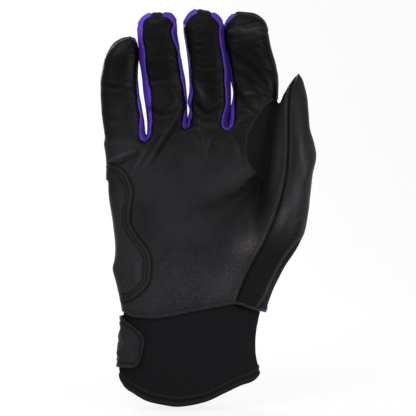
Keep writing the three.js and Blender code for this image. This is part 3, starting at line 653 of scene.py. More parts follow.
def inside_polygon(x, z, polygon):
    """Signed distance to a closed outline in the x-z plane: positive inside."""
    edge = distance_to_path(x, z, polygon + polygon[:1])[0]
    inside = np.zeros(len(x), bool)
    for (ax, az), (bx, bz) in zip(polygon, polygon[1:] + polygon[:1]):
        if az == bz:
            continue
        inside ^= ((az > z) != (bz > z)) & (x < (bx - ax) * (z - az) / (bz - az) + ax)
    return np.where(inside, edge, -edge)


def smooth_path(path, count):
    """A smooth line through a path's points, as count points."""
    knots = np.arange(len(path))
    at = np.linspace(0, len(path) - 1, count)
    return [tuple(p) for p in np.array([through(knots, [q[a] for q in path], at)
                                        for a in range(len(path[0]))]).T]


def offset_path(path, distance):
    """A polyline in the x-z plane moved sideways, to its left when distance is positive."""
    along = unit(np.gradient(np.asarray(path, float), axis=0))
    return np.asarray(path, float) + np.stack([-along[:, 1], along[:, 0]], 1) * distance


def lengths_along(points):
    """The length of a polyline up to each of its points."""
    return np.concatenate([[0], np.cumsum(np.linalg.norm(np.diff(points, axis=0), axis=1))])


def even(points, step):
    """Points of a polyline, spaced evenly by about step."""
    points = np.asarray(points, float)
    lengths = lengths_along(points)
    at = np.linspace(0, lengths[-1], max(3, int(lengths[-1] / step)))
    return np.stack([np.interp(at, lengths, points[:, a]) for a in range(points.shape[1])], 1)


def soften(points, rounds):
    """A line's points, each moved towards its neighbours; the ends stay."""
    points = np.array(points, float)
    for _ in range(rounds):
        points[1:-1] = (points[:-2] + points[1:-1] * 2 + points[2:]) / 4
    return points


# Panels of the skin


class Sheet:
    """A piece of the skin: triangles, and rows of each point's rest place, shown place and
    normal, its width u, its painted shade (with the back's darker cloth) and its painted
    highlight."""

    def __init__(self, rows, triangles):
        self.rows = rows
        self.triangles = triangles

    x = property(lambda self: self.rows[:, 0])
    y = property(lambda self: self.rows[:, 1])
    z = property(lambda self: self.rows[:, 2])
    shown = property(lambda self: self.rows[:, 3:6])
    normals = property(lambda self: self.rows[:, 6:9])
    u = property(lambda self: self.rows[:, 9])
    seam = property(lambda self: self.rows[:, 10])
    painted_highlight = property(lambda self: self.rows[:, 11])

    def split(self, value):
        """The sheet's parts where value is below zero, and above, cut cleanly between."""
        value = np.where(np.abs(value) < 1e-6, 1e-6, value)
        above = value > 0
        count = above[self.triangles].sum(1)
        low = [self.triangles[count == 0]]
        high = [self.triangles[count == 3]]
        mixed = self.triangles[(count == 1) | (count == 2)]
        if len(mixed) == 0:
            return self._take(self.rows, low), self._take(self.rows, high)
        sides = above[mixed]
        lone = np.where(sides.sum(1) == 1, sides.argmax(1), (~sides).argmax(1))
        mixed = np.take_along_axis(mixed, (lone[:, None] + np.arange(3)) % 3, 1)
        edges = np.concatenate([mixed[:, [0, 1]], mixed[:, [0, 2]]])
        ends, where = np.unique(np.sort(edges, axis=1), axis=0, return_inverse=True)
        where = where.reshape(-1)
        t = value[ends[:, 0]] / (value[ends[:, 0]] - value[ends[:, 1]])
        t = np.clip(t, 0.01, 0.99)[:, None]
        made = Sheet(self.rows[ends[:, 0]] * (1 - t) + self.rows[ends[:, 1]] * t, None)
        made.normals[:] = unit(made.normals)
        rows = np.concatenate([self.rows, made.rows])
        p = where[:len(mixed)] + len(self.rows)
        q = where[len(mixed):] + len(self.rows)
        corner = np.stack([mixed[:, 0], p, q], 1)
        rest = np.concatenate([np.stack([p, mixed[:, 1], mixed[:, 2]], 1),
                               np.stack([p, mixed[:, 2], q], 1)])
        up = above[mixed[:, 0]]
        low += [corner[~up], rest[np.tile(up, 2)]]
        high += [corner[up], rest[np.tile(~up, 2)]]
        return self._take(rows, low), self._take(rows, high)

    @staticmethod
    def _take(rows, groups):
        triangles = np.concatenate(groups)
        used, where = np.unique(triangles, return_inverse=True)
        return Sheet(rows[used], where.reshape(-1, 3))

    def tree(self):
        """The sheet's shown surface, for rays to meet."""
        return BVHTree.FromPolygons(self.shown.tolist(), self.triangles.tolist())


def thumb_side(x, y, z):
    """Positive on the outer thumb: past the ridge seam in front and the back seam behind."""
    front = x - through(SEAM_Z, SEAM_X, z)
    back = x - through(BACK_SEAM_Z, BACK_SEAM_X, z)
    share = ramp(y - through(THUMB_Z, THUMB_Y, z), 0, 6)
    return front * (1 - share) + back * share


def gusset_side(x, z):
    """Positive on the mesh gusset between the palm and the thumb."""
    left = x - through(GUSSET_Z, GUSSET_X, z)
    right = through(FOLD_Z, FOLD_X, z) - x
    return np.minimum(np.minimum(left, right), np.minimum(z - GUSSET_Z[0], GUSSET_TOP - z))


def nearest_gap(u):
    """Which of the three gaps between fingers lies nearest to u, and how far its middle is."""
    away = np.abs(u[:, None] - gap_middle(np.arange(3)))
    return away.argmin(1), away.min(1)


def above_arch(u, z):
    """How far above the upper edge of its finger's front leather a point lies."""
    value = np.full(len(u), FAR_BELOW)
    for k in range(len(FINGERS)):
        s = across_finger(k, u)
        value = np.where(np.abs(s) < LANE_REACH, z - through(ARCH_S[k], ARCH_Z[k], s), value)
    return value


def wall_side(u, y, z):
    """Positive on the stretch walls between the fingers."""
    x = real_x(u, z)
    gap, away = nearest_gap(u)
    opening = np.zeros(len(u))
    for k in range(len(GAP_FLOOR_Z)):
        low, high = (through(LEATHER_Z, LEATHER_X[2 * k + i], z) for i in (0, 1))
        seen = np.where(u < gap_middle(k), x - low, high - x)
        seen = join(seen, z - GAP_FLOOR_Z[k], GAP_FLOOR_ROUND[k])
        opening = np.where(gap == k, seen, opening)
    front = np.maximum(opening, above_arch(u, z)) + 3 * np.maximum(y + 0.5, 0)
    reach = np.interp(u, WALL_U, WALL_CORNER)
    side = np.minimum(np.minimum(front, WALL_SEAM_BACK - y), reach - away)
    return np.minimum(side, z - np.interp(u, CROTCH_U, CROTCH_Z) + WALL_FOOT)


# Painted shade on the stretch walls between the fingers, by gap side and height.
def wall_darkness(u, z):
    gap = nearest_gap(u)[0]
    side = 2 * gap + (u > gap_middle(gap))
    return np.choose(side, [np.interp(z, WALL_DARK_Z, row) for row in WALL_DARK])


def crease_height(u):
    """The height at which each finger bends, and where its panels begin."""
    return np.interp(u, CREASE_U, CREASE_Z) + 0.5


def front_back(u, y, z):
    """Positive towards the back of the hand; the back wraps a little over each fingertip."""
    return np.maximum(y - 1.5 + ramp(z, 160, 176), above_arch(u, z))


def seam_groove(d):
    """A sewn seam's shape against the distance from it: a groove with a puckered edge."""
    return -0.5 * bell(d, 0.8) + 0.22 * bell(np.abs(d) - 2.0, 1.1)


class Relief:
    """What folds and seams do to the skin: how far they lift each point, in mm, how dark the
    painted shade and the back's darker cloth make it, and how pale the painted highlights make it,
    from 0 to 1."""

    def __init__(self, u, rest, normals):
        self.u = u
        self.rest = rest
        self.x, self.y, self.z = rest.T
        self.facing = normals[:, 1]
        self.front = ramp(-self.facing, -0.1, 0.5)
        self.wall = wall_side(u, self.y, self.z)
        self.thumb = thumb_side(self.x, self.y, self.z)
        self.lift, self.dark, self.painted_highlight = np.zeros((3, len(u)))

    def line(self, path, end):
        """Distance to the smooth line through a path, and the line's strength on the palm side,
        which fades to its ends as far as it has at the share end of its length."""
        d, along = distance_to_path(self.x, self.z, smooth_path(path, 4 * len(path)))
        return d, self.front * np.sin(np.pi * np.clip(along, end, 1 - end)) ** 0.5

    def fold(self):
        """Folds, soft creases and thin raised wrinkles of the worn leather, with painted shade in
        the folds and creases and a painted highlight along each wrinkle.
        """
        for path, width, depth in FOLDS:
            d, strength = self.line(path, 0.02)
            lip = FOLD_LIP * bell(d - 2.1 * width, 1.2 * width)
            self.lift += FOLD_LIFT * depth * strength * (lip - bell(d, width))
            self.dark += FOLD_DARK * depth * strength * bell(d, 0.8 * width)
        for path, width, darkness in CREASES:
            d, strength = self.line(path, 0.05)
            self.lift -= CREASE_DEPTH * strength * bell(d, width)
            self.dark += darkness * strength * bell(d, width)
        for path, width, highlight in RIDGES:
            d, strength = self.line(path, 0.05)
            self.lift += RIDGE_HEIGHT * strength * bell(d, width)
            self.painted_highlight += highlight * strength * bell(d, width)

    def swell(self):
        """Slow unevenness of worn leather and cloth."""
        places = {
            "front": self.front,
            "fingers": self.front * ramp(self.z, 176, 196),
            "back": (1 - self.front) * ramp(nearest_gap(self.u)[1], 2.0, 5.0),
        }
        for place, height, size, shift, seed in SWELLS:
            self.lift += places[place] * height * smooth_noise(self.rest + shift, size, seed)

    def paint_highlights(self):
        """Painted highlights: pale spots at the places of their table."""
        for middle_x, middle_z, long, wide, turn, strength in PAINTED_HIGHLIGHTS:
            c, s = np.cos(np.radians(turn)), np.sin(np.radians(turn))
            a, b = self.x - middle_x, self.z - middle_z
            away = ((a * c + b * s) / long) ** 2 + ((b * c - a * s) / wide) ** 2
            self.painted_highlight += strength * self.front * np.exp(-away)

    def sew_channels(self):
        """Flex channels across and along the back, with painted shade in their grooves."""
        behind = ramp(self.facing, 0.1, 0.5)
        for path in CHANNELS:
            d = distance_to_path(self.x, self.z, smooth_path(path, 5 * len(path)))[0]
            self.lift += behind * (-0.75 * bell(d, 0.9) + 0.45 * bell(d - 2.6, 1.6))
            self.dark += behind * 0.7 * bell(d, 0.7)

    def sew_walls(self):
        """Seams of the stretch walls with painted shade along them, and painted shade on the walls
        deep between the fingers.
        """
        wall = self.wall
        self.lift += seam_groove(wall) * ramp(self.z, 160, 172) * (np.abs(wall) < 8)
        self.dark += 0.8 * bell(wall + 0.3, 0.6)
        deep = ramp(wall, 0, 1) * wall_darkness(self.u, self.z)
        at_web = 0.9 * ramp(wall, 0.8, 2.0) * (1 - ramp(self.z, 186, 194))
        self.dark += np.maximum(deep, at_web) * (wall > 0)

    def sew_gusset(self):
        """The gusset's mesh lies lower than the palm, whose turned edge is stitched; painted shade
        lines the palm's edge.
        """
        gusset = gusset_side(self.x, self.z)
        palm_side = self.x < through(GUSSET_Z, GUSSET_X, self.z) + 3
        self.lift -= 0.7 * ramp(gusset, -0.4, 2.2) * (self.x < 60)
        self.lift += 0.2 * bell(gusset + 1.2, 1.0) * palm_side * (self.z > 140)
        marks = 0.5 * bell(gusset - 0.1, 0.6) + 0.35 * bell(gusset + 2.4, 0.35)
        self.dark += marks * palm_side

    def sew_thumb(self):
        """The ridge seam along the front of the thumb, its groove with painted shade on both sides
        of the ridge, painted highlights on the ridge and beside it, and the flat back seam.
        """
        side = self.thumb
        front = ramp(-self.facing, 0.0, 0.3)
        ridge = 0.7 * bell(side - 0.1, 0.8) - 0.9 * bell(side + 1.3, 0.85)
        self.lift += front * (ridge + 0.4 * bell(side + 3.0, 1.2))
        self.lift += (1 - front) * 0.7 * seam_groove(side)
        self.dark += 1.1 * bell(side + 1.3, 0.8) + 0.4 * bell(side - 1.6, 0.6)
        self.painted_highlight += front * (0.32 * bell(side + 3.1, 1.3) + 0.4 * bell(side - 0.1, 0.7))

    def wrap_root(self):
        """The back's darker cloth, which comes round the outer side of the thumb's root, with a
        painted highlight along its edge.
        """
        wrap = self.x - through(WRAP_Z, WRAP_X, self.z)
        below = 1 - ramp(self.z - 1.3 * np.maximum(self.y + 12, 0), 106, 109)
        wrapped = (self.x > 40) * below
        self.lift -= 0.5 * wrapped * ramp(wrap, 0.0, 0.8)
        self.dark += 0.85 * wrapped * ramp(wrap, 0.1, 0.9)
        self.painted_highlight += 0.6 * wrapped * self.front * bell(wrap + 0.9, 0.8)

    def sew_back(self):
        """The seam between the palm side's leather and the back's cloth, with painted shade along
        it.
        """
        away = np.abs(front_back(self.u, self.y, self.z))
        edge_on = (np.abs(self.thumb) > 3) * (np.abs(self.facing) < 0.8)
        self.lift += 0.6 * seam_groove(away) * edge_on
        self.dark += 0.6 * bell(away, 0.6) * (self.wall < 0)


def make_skin(step):
    """The worn glove's whole surface, with its folds and seams, and the shade and highlights
    painted on it.
    """
    points, triangles = skin_grid(step)
    u, y, z = settle(points).T
    rest = np.stack([real_x(u, z), y, z], 1)
    normals = vertex_normals(rest, triangles)
    relief = Relief(u, rest, normals)
    relief.fold()
    relief.swell()
    relief.paint_highlights()
    relief.sew_channels()
    relief.sew_walls()
    relief.sew_gusset()
    relief.sew_thumb()
    relief.wrap_root()
    relief.sew_back()
    shown = rest + normals * relief.lift[:, None]
    marks = np.stack([u, np.clip(relief.dark, 0, 1), np.clip(relief.painted_highlight, 0, 1)], 1)
    rows = np.concatenate([rest, shown, vertex_normals(shown, triangles), marks], 1)
    return Sheet(rows, triangles)


# Meshes


def finish_object(name, mesh, material):
    mesh.shade_smooth()
    mesh.materials.clear()
    mesh.materials.append(material)
    obj = bpy.data.objects.new(name, mesh)
    bpy.context.scene.collection.objects.link(obj)
    return obj


def plain_object(name, points, faces, material):
    mesh = bpy.data.meshes.new(name)
    mesh.from_pydata((np.asarray(points) * MM).tolist(), [], [tuple(f) for f in faces])
    mesh.validate()
    mesh.update()
    return finish_object(name, mesh, material)


def set_mark(obj, name, values):
    """Keeps a number from 0 to 1 at each point, which the piece's material reads."""
    layer = obj.data.attributes.new(name, "FLOAT", "POINT")
    layer.data.foreach_set("value", np.asarray(values, np.float32).reshape(-1))


def shell_object(name, sheet, thickness, material):
    """A closed panel of cloth or leather: the sheet, its inner face and its cut edges."""
    points, normals, outer = sheet.shown, sheet.normals, sheet.triangles
    n = len(points)
    directed = np.concatenate([outer[:, [0, 1]], outer[:, [1, 2]], outer[:, [2, 0]]])
    key = directed[:, 0].astype(np.int64) * n + directed[:, 1]
    back = directed[:, 1].astype(np.int64) * n + directed[:, 0]
    a, b = directed[~np.isin(key, back)].T
    rim = np.concatenate([np.stack([b, a, a + n], 1), np.stack([b, a + n, b + n], 1)])
    faces = np.concatenate([outer, outer[:, ::-1] + n, rim])
    both = np.concatenate([points, points - normals * thickness]) * MM
    mesh = bpy.data.meshes.new(name)
    mesh.from_pydata(both.tolist(), [], faces.tolist())
    obj = finish_object(name, mesh, material)
    edge = both[rim]
    flat = unit(np.cross(edge[:, 1] - edge[:, 0], edge[:, 2] - edge[:, 0]))
    corners = [normals[outer.reshape(-1)], -normals[outer[:, ::-1].reshape(-1)],
               np.repeat(flat, 3, axis=0)]
    mesh.normals_split_custom_set(np.concatenate(corners).tolist())
    # Marks of painted shade (with the back's darker cloth) and of painted highlight, which the
    # materials read.
    set_mark(obj, "seam", np.tile(sheet.seam, 2))
    set_mark(obj, "painted_highlight", np.tile(sheet.painted_highlight, 2))
    return obj


def bake_modifiers(obj):
    """Turns an object and its modifiers into a plain mesh."""
    graph = bpy.context.evaluated_depsgraph_get()
    graph.update()
    mesh = bpy.data.meshes.new_from_object(obj.evaluated_get(graph))
    obj.modifiers.clear()
    obj.data = mesh
    mesh.shade_smooth()


def recalculate(obj):
    """Turns a closed mesh's faces outwards."""
    work = bmesh.new()
    work.from_mesh(obj.data)
    bmesh.ops.recalc_face_normals(work, faces=work.faces)
    work.to_mesh(obj.data)
    work.free()


def grid_object(name, rows, thickness, material, closed=False, dark=None):
    """A thin sheet from rows of points, given its thickness inwards; closed joins its ends, and
    dark is the painted shade in its seams at each point."""
    rows = np.asarray(rows, float)
    m, n = rows.shape[:2]
    quads = []
    for i in range(m - 1):
        for j in range(n if closed else n - 1):
            k = (j + 1) % n
            quads.append((i * n + j, i * n + k, (i + 1) * n + k, (i + 1) * n + j))
    obj = plain_object(name, rows.reshape(-1, 3), quads, material)
    if dark is not None:
        set_mark(obj, "seam", dark)
    if thickness:
        solid = obj.modifiers.new("thickness", "SOLIDIFY")
        solid.thickness = thickness * MM
        solid.offset = -1
        solid.use_even_offset = False
        bake_modifiers(obj)
    return obj


def beading_object(name, points, normals, width, height, material):
    """A rounded strip along points on a surface: a piping, a rolled edge or a seam's ridge."""
    points = np.asarray(points, float)
    ahead = np.concatenate([points[1:], points[-1:]])
    behind = np.concatenate([points[:1], points[:-1]])
    along = unit(ahead - behind)
    across = unit(np.cross(along, np.asarray(normals, float)))
    up = np.cross(across, along)
    sides = BEADING_SIDES
    angles = 2 * np.pi * np.arange(sides) / sides
    rows = np.array([points + across * np.cos(a) * width / 2 + up * np.sin(a) * height
                     for a in angles]).transpose(1, 0, 2)
    last = (len(rows) - 1) * sides
    faces = []
    for start in range(0, last, sides):
        for j in range(sides):
            k = (j + 1) % sides
            faces.append((start + j, start + k, start + sides + k, start + sides + j))
    faces.append(tuple(range(sides))[::-1])
    faces.append(tuple(last + j for j in range(sides)))
    obj = plain_object(name, rows.reshape(-1, 3), faces, material)
    recalculate(obj)
    return obj


def dress(piece, slot, *nodes, body=None):
    """Hides the CAD nodes that a piece stands for and, if it doesn't bend, hangs it on its body;
    its finish, slot, is not used.
    """
    if body:
        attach(piece, body)
    if nodes:
        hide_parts(*nodes)


# Nodes


def add_node(tree, kind, setup=None, inputs=None):
    """A node of a tree: its settings first, then the values or links of its sockets."""
    node = tree.nodes.new(kind)
    for key, value in (setup or {}).items():
        setattr(node, key, value)
    for key, value in (inputs or {}).items():
        if isinstance(value, Shade):
            value = value.socket
        if isinstance(value, bpy.types.NodeSocket):
            tree.links.new(value, node.inputs[key])
        else:
            node.inputs[key].default_value = value
    return node


class Shade:
    """A number coming out of a node, with Python's operators as Math nodes."""

    def __init__(self, tree, socket):
        self.tree = tree
        self.socket = socket

    def _math(self, operation, *sides):
        node = add_node(self.tree, "ShaderNodeMath", {"operation": operation},
                        dict(enumerate(sides)))
        return Shade(self.tree, node.outputs[0])

    def __add__(self, other):
        return self._math("ADD", self, other)

    def __sub__(self, other):
        return self._math("SUBTRACT", self, other)

    def __rsub__(self, other):
        return self._math("SUBTRACT", other, self)

    def __mul__(self, other):
        return self._math("MULTIPLY", self, other)

    __radd__ = __add__
    __rmul__ = __mul__

    def above(self, low, high):
        """0 below low to 1 above high."""
        node = add_node(self.tree, "ShaderNodeMapRange", {"interpolation_type": "SMOOTHSTEP"},
                        {"Value": self, "From Min": low, "From Max": high})
        return Shade(self.tree, node.outputs["Result"])


def seen_plainly(tree):
    """1 for what the camera sees, also by a reflection or through glass, and 0 for the light."""
    rays = add_node(tree, "ShaderNodeLightPath")
    camera, glossy, clear = (Shade(tree, rays.outputs[f"Is {kind} Ray"])
                             for kind in ("Camera", "Glossy", "Transmission"))
    return (camera + glossy + clear).above(0, 1)


# Materials


class Finish:
    """A procedural material under construction."""

    def __init__(self, name, **uniform):
        self.material = bpy.data.materials.new(name)
        self.material.use_nodes = True
        self.tree = self.material.node_tree
        self.tree.nodes.clear()
        self.shader = add_node(self.tree, "ShaderNodeBsdfPrincipled", None, {
            key.replace("_", " "): value for key, value in uniform.items()})
        self.output = add_node(self.tree, "ShaderNodeOutputMaterial", None,
                               {"Surface": self.shader.outputs[0]})
        self.place = add_node(self.tree, "ShaderNodeTexCoord").outputs["Object"]

    def node(self, kind, setup=None, inputs=None, output=0):
        return Shade(self.tree, add_node(self.tree, kind, setup, inputs).outputs[output])

    def noise(self, size, detail=3.0, stretch=(1, 1, 1)):
        """Noise with features about size across, in mm."""
        place = self.node("ShaderNodeMapping", None, {"Vector": self.place, "Scale": stretch})
        return self.node("ShaderNodeTexNoise", None,
                         {"Vector": place, "Scale": 1 / (size * MM), "Detail": detail})

    def cells(self, size, feature="F1"):
        """Distance within cells about size across, in mm."""
        return self.node("ShaderNodeTexVoronoi", {"feature": feature},
                         {"Vector": self.place, "Scale": 1 / (size * MM)})

    def wave(self, size, direction, distortion, turn=(0, 0, 0)):
        """Bands size apart, in mm."""
        place = self.node("ShaderNodeMapping", None, {"Vector": self.place, "Rotation": turn})
        return self.node("ShaderNodeTexWave", {"bands_direction": direction},
                         {"Vector": place, "Scale": WAVE_PITCH / (size * MM),
                          "Distortion": distortion})

    def mark(self, name):
        """A mark on the mesh, from 0 to 1, by its name: the painted shade (with the back's darker
        cloth) and the painted highlight.
        """
        return self.node("ShaderNodeAttribute", {"attribute_name": name}, None, "Fac")

    def axis(self, name):
        return self.node("ShaderNodeSeparateXYZ", None, {0: self.place}, name)

    def mix(self, share, first, second):
        return self.node("ShaderNodeMix", {"data_type": "RGBA"},
                         {0: share, 6: first, 7: second}, 2)

    def link(self, name, value):
        self.tree.links.new(value.socket, self.shader.inputs[name])

    def bump(self, height, depth):
        """Raises the surface by height, 0 to 1, times depth in mm."""
        self.link("Normal", self.node("ShaderNodeBump", None,
                                      {"Height": height, "Distance": depth * MM, "Strength": 1}))


def grey(value, blue=0.0):
    return (value, value, value * (1 + blue), 1)


def tinted(colour, factor):
    return tuple(c * factor for c in colour[:3]) + (1,)


def make_leather(name, shade, dust_and_light_share, dim_from, dim_to, dim):
    """Goatskin: pebble grain and wrinkles, a soft sheen, a pale speckle low on the palm that is
    dust and in part painted light, painted highlights, painted shade, and dimmed from one height
    to another: painted shade on the fingers."""
    leather = Finish(name, Specular_IOR_Level=0.05)
    grain = leather.cells(0.9, "SMOOTH_F1")
    pores = leather.noise(0.5, 4.0)
    specks = leather.noise(1.0, 6.0)
    wrinkles = leather.noise(3.0, 5.0, (1, 1, 1.9))
    patches = leather.noise(24.0, 4.0)
    height = leather.axis("Z")
    # Paler speckle low on the palm: dust, and in part painted light.
    dust_and_light = (1 - height.above(*DUST_AND_LIGHT_Z)) * dust_and_light_share
    palm = leather.mix(patches.above(0.35, 0.68), grey(shade * 0.75, 0.14),
                       grey(shade * 1.2, 0.12))
    # Dimmed towards dim_to by the share dim: painted shade on the fingers; on the thumb, darker
    # towards its root.
    base = leather.mix(height.above(dim_from, dim_to), palm, grey(shade * dim, 0.16))
    speckle = specks.above(0.36, 0.68)
    base = leather.mix(speckle * dust_and_light, base, grey(shade * 2.6, 0.1))
    # Painted highlights: a pale tone where the painted-highlight mark lies, mottled by the
    # speckle.
    highlight_tone = (shade * 4.6, shade * 4.1, shade * 4.4, 1)
    base = leather.mix(leather.mark("painted_highlight") * (0.35 + speckle * 0.65), base, highlight_tone)
    # Painted shade, and the back's darker cloth at the thumb's root, darken and roughen the
    # leather through this mark.
    seam = leather.mark("seam")
    leather.link("Base Color", leather.mix(seam * 0.9, base, grey(shade * 0.1)))
    rough = 0.28 + patches * 0.10 + pores * 0.10 + dust_and_light * 0.08
    leather.link("Roughness", rough + seam * 0.3)
    leather.bump(grain * 0.25 + pores * 0.2 + wrinkles * 1.3, 0.32)
    return leather.material


def make_knit(name, bright, dark):
    """Ribbed stretch knit, darkened by the painted shade mark."""
    knit = Finish(name, Roughness=0.8, Specular_IOR_Level=0.01)
    weave = knit.wave(0.9, "Z", 0.6) * knit.wave(0.6, "Y", 0.8)
    woven = knit.mix(weave * 0.45 + knit.noise(9.0) * 0.35, dark, bright)
    knit.link("Base Color", knit.mix(knit.mark("seam") * 0.95, woven, tinted(dark, 0.12)))
    knit.bump(weave, 0.12)
    return knit.material


def make_cloth(name, shade, size, depth, roughness=0.85, sheen=0.05, specular=0.25, turn=0.0):
    """Plain woven or knitted black cloth, darkened by the painted shade mark in its grooves."""
    cloth = Finish(name, Roughness=roughness, Sheen_Weight=sheen, Sheen_Roughness=0.5,
                   Specular_IOR_Level=specular)
    weave = cloth.wave(size, "Z", 0.5, (0, turn, 0)) * cloth.wave(size, "X", 0.5, (0, turn, 0))
    fuzz = cloth.noise(0.4, 2.0)
    base = cloth.mix(cloth.noise(14.0), grey(shade * 0.8, 0.15), grey(shade * 1.25, 0.15))
    woven = cloth.mix(weave * 0.5 + fuzz * 0.2, base, grey(shade * 1.9, 0.1))
    cloth.link("Base Color", cloth.mix(cloth.mark("seam") * 0.9, woven, grey(shade * 0.15)))
    cloth.bump(weave * 0.8 + fuzz * 0.4, depth)
    return cloth.material


def make_mesh_cloth(name, shade):
    """Fine knitted mesh: rows of dark holes between threads."""
    cloth = Finish(name, Roughness=0.8, Specular_IOR_Level=0.03)
    turn = (0, 0.6, 0)
    hole = (cloth.wave(1.3, "Z", 0.3, turn) * cloth.wave(1.3, "X", 0.3, turn)).above(0.42, 0.62)
    cloth.link("Base Color", cloth.mix(hole, grey(shade * 1.5), grey(shade * 0.25)))
    cloth.bump(1 - hole, 0.3)
    return cloth.material


def make_loops(name, shade):
    """Hook-and-loop tape: a dense field of tiny loops."""
    tape = Finish(name, Roughness=0.95, Sheen_Weight=0.2, Specular_IOR_Level=0.1)
    tufts = tape.cells(0.7)
    tape.link("Base Color", tape.mix(tufts.above(0.2, 0.9), grey(shade * 2.2),
                                     grey(shade * 0.5)))
    tape.bump(1 - tufts, 0.4)
    return tape.material


MATERIALS = {}


def make_materials(stretch):
    MATERIALS.update(
        leather=make_leather("black_leather", 0.0110, 0.45, 0.150, 0.200, 0.11),
        heel=make_leather("heel_leather", 0.0110, 0.35, 0.150, 0.200, 0.2),
        thumb=make_leather("thumb_leather", 0.0110, 0.0, 0.125, 0.095, 0.4),
        purple=make_knit("purple_knit", tinted(stretch, 1), tinted(stretch, 0.62)),
        back=make_cloth("back_cloth", 0.0095, 0.8, 0.1, 0.85, 0.01, 0.08),
        mesh=make_mesh_cloth("mesh_cloth", 0.0045),
        neoprene=make_cloth("neoprene", 0.0055, 0.7, 0.05, 0.9, 0.0, 0.03),
        binding=make_cloth("binding_tape", 0.0068, 0.6, 0.08, 0.7, 0.0, 0.05, 0.8),
        tape=make_loops("hook_and_loop", 0.008),
        elastic=make_cloth("woven_elastic", 0.02, 1.2, 0.2, 0.7),
        thread=make_cloth("black_thread", 0.004, 0.3, 0.03, 0.6, 0.0, 0.1),
    )


# Places on the skin and on the cuff

SKIN = {}


def front_of(points, lift=0.0, side=-1, tree="tree"):
    """Points and normals on the skin under (x, z) places, seen from the palm or the back."""
    found, normals = [], []
    inwards = Vector((0, -side, 0))
    for x, z in points:
        place, normal = SKIN[tree].ray_cast(Vector((x, OUTSIDE * side, z)), inwards)[:2]
        if place is not None:
            found.append(np.array(place) + np.array(normal) * lift)
            normals.append(np.array(normal))
    normals = soften(normals, 3)
    return np.array(found), normals / np.linalg.norm(normals, axis=1, keepdims=True)


def cuff_outline(z, offset):
    """The cuff's oval at height z, offset outwards, as points (x, y) from its thumb side round
    the back to the little-finger side and home along the palm."""
    centre, half = middle_and_half(CUFF_Z, CUFF_LEFT, CUFF_RIGHT, z)
    angle = np.linspace(0, 2 * np.pi, CUFF_COLUMNS + 1)[:-1]
    c, s = np.cos(angle), np.sin(angle)
    power = 2 / CUFF_POWER
    return np.stack([centre + (half + offset) * np.sign(c) * np.abs(c) ** power,
                     (CUFF_DEPTH + offset) * np.sign(s) * np.abs(s) ** power], 1)


def cuff_place(s, z, offset):
    """The point at arc length s from the little-finger edge: positive towards the palm."""
    outline = cuff_outline(z, offset)
    outline = np.concatenate([outline, outline[:1]])
    lengths = lengths_along(outline)
    at = lengths[CUFF_COLUMNS // 2] + s
    x, y = (np.interp(at, lengths, column) for column in outline.T)
    return np.array([x, y, z])


def strap_s(x, front=True):
    """Arc length on the cuff, at the strap's middle, of a place x on its palm or back side."""
    s = np.linspace(0, 90, 600) * (1 if front else -1)
    return float(np.interp(x, [cuff_place(v, STRAP_MIDDLE, 1.5)[0] for v in s], s))


# Settings


class GLOVE_PG_settings(bpy.types.PropertyGroup):
    """Sizes and colours of the glove that a user may change."""

    voxel: FloatProperty(name="Skin detail", description="Grid step of the skin's surface",
                         default=0.0009, min=0.0006, max=0.003, unit="LENGTH")
    leather_thickness: FloatProperty(name="Leather thickness", description="Of palm and fingers",
                                     default=0.001, unit="LENGTH")
    cloth_thickness: FloatProperty(name="Cloth thickness", description="Of back and walls",
                                   default=0.0008, unit="LENGTH")
    stretch: FloatVectorProperty(name="Wall colour", description="Colour of the finger walls",
                                 default=(0.170, 0.074, 0.78), subtype="COLOR")
    stitch_length: FloatProperty(name="Stitch length", description="Length of one stitch",
                                 default=0.0019, unit="LENGTH")
    stitch_pitch: FloatProperty(name="Stitch pitch", description="From stitch to stitch",
                                default=0.0026, unit="LENGTH")
    patch_lift: FloatProperty(name="Heel patch height", description="Of the second leather layer",
                              default=0.0011, unit="LENGTH")
    seed: IntProperty(name="Seed", description="Of the stitches' small turns", default=7)


def settings():
    return bpy.context.scene.glove_settings


def thicknesses():
    """Thickness of the leather and of the cloth, in mm."""
    return settings().leather_thickness / MM, settings().cloth_thickness / MM


# Stage


def make_floor():
    """Pale floor that sweeps up into a backdrop, and looks white wherever it is seen."""
    profile = [(FLOOR_FRONT, FLOOR_Z), (SWEEP_Y, FLOOR_Z)]
    profile += [(SWEEP_Y + SWEEP_RADIUS * np.sin(a), FLOOR_Z + SWEEP_RADIUS * (1 - np.cos(a)))
                for a in np.linspace(0.1, np.pi / 2, 14)]
    profile += [(SWEEP_Y + SWEEP_RADIUS, BACKDROP_TOP)]
    rows = [[(x, y, z) for y, z in profile] for x in (-FLOOR_HALF_WIDTH, FLOOR_HALF_WIDTH)]
    floor = Finish("floor", Roughness=0.9, Base_Color=(0.82, 0.82, 0.82, 1))
    glow = floor.node("ShaderNodeEmission", None, {"Color": (1, 1, 1, 1), "Strength": 1})
    blend = floor.node("ShaderNodeMixShader", None, {
        0: seen_plainly(floor.tree) * 0.85, 1: floor.shader.outputs[0], 2: glow})
    floor.tree.links.new(blend.socket, floor.output.inputs["Surface"])
    return grid_object("floor", rows, 0, floor.material)


def make_world():
    """White where it is seen, and a dimmer, even light on the glove."""
    world = bpy.data.worlds.new("world")
    world.use_nodes = True
    surround = world.node_tree.nodes["Background"]
    surround.inputs["Color"].default_value = (1, 1, 1, 1)
    strength = WORLD_LIGHT + seen_plainly(world.node_tree) * (1 - WORLD_LIGHT)
    world.node_tree.links.new(strength.socket, surround.inputs["Strength"])
    return world


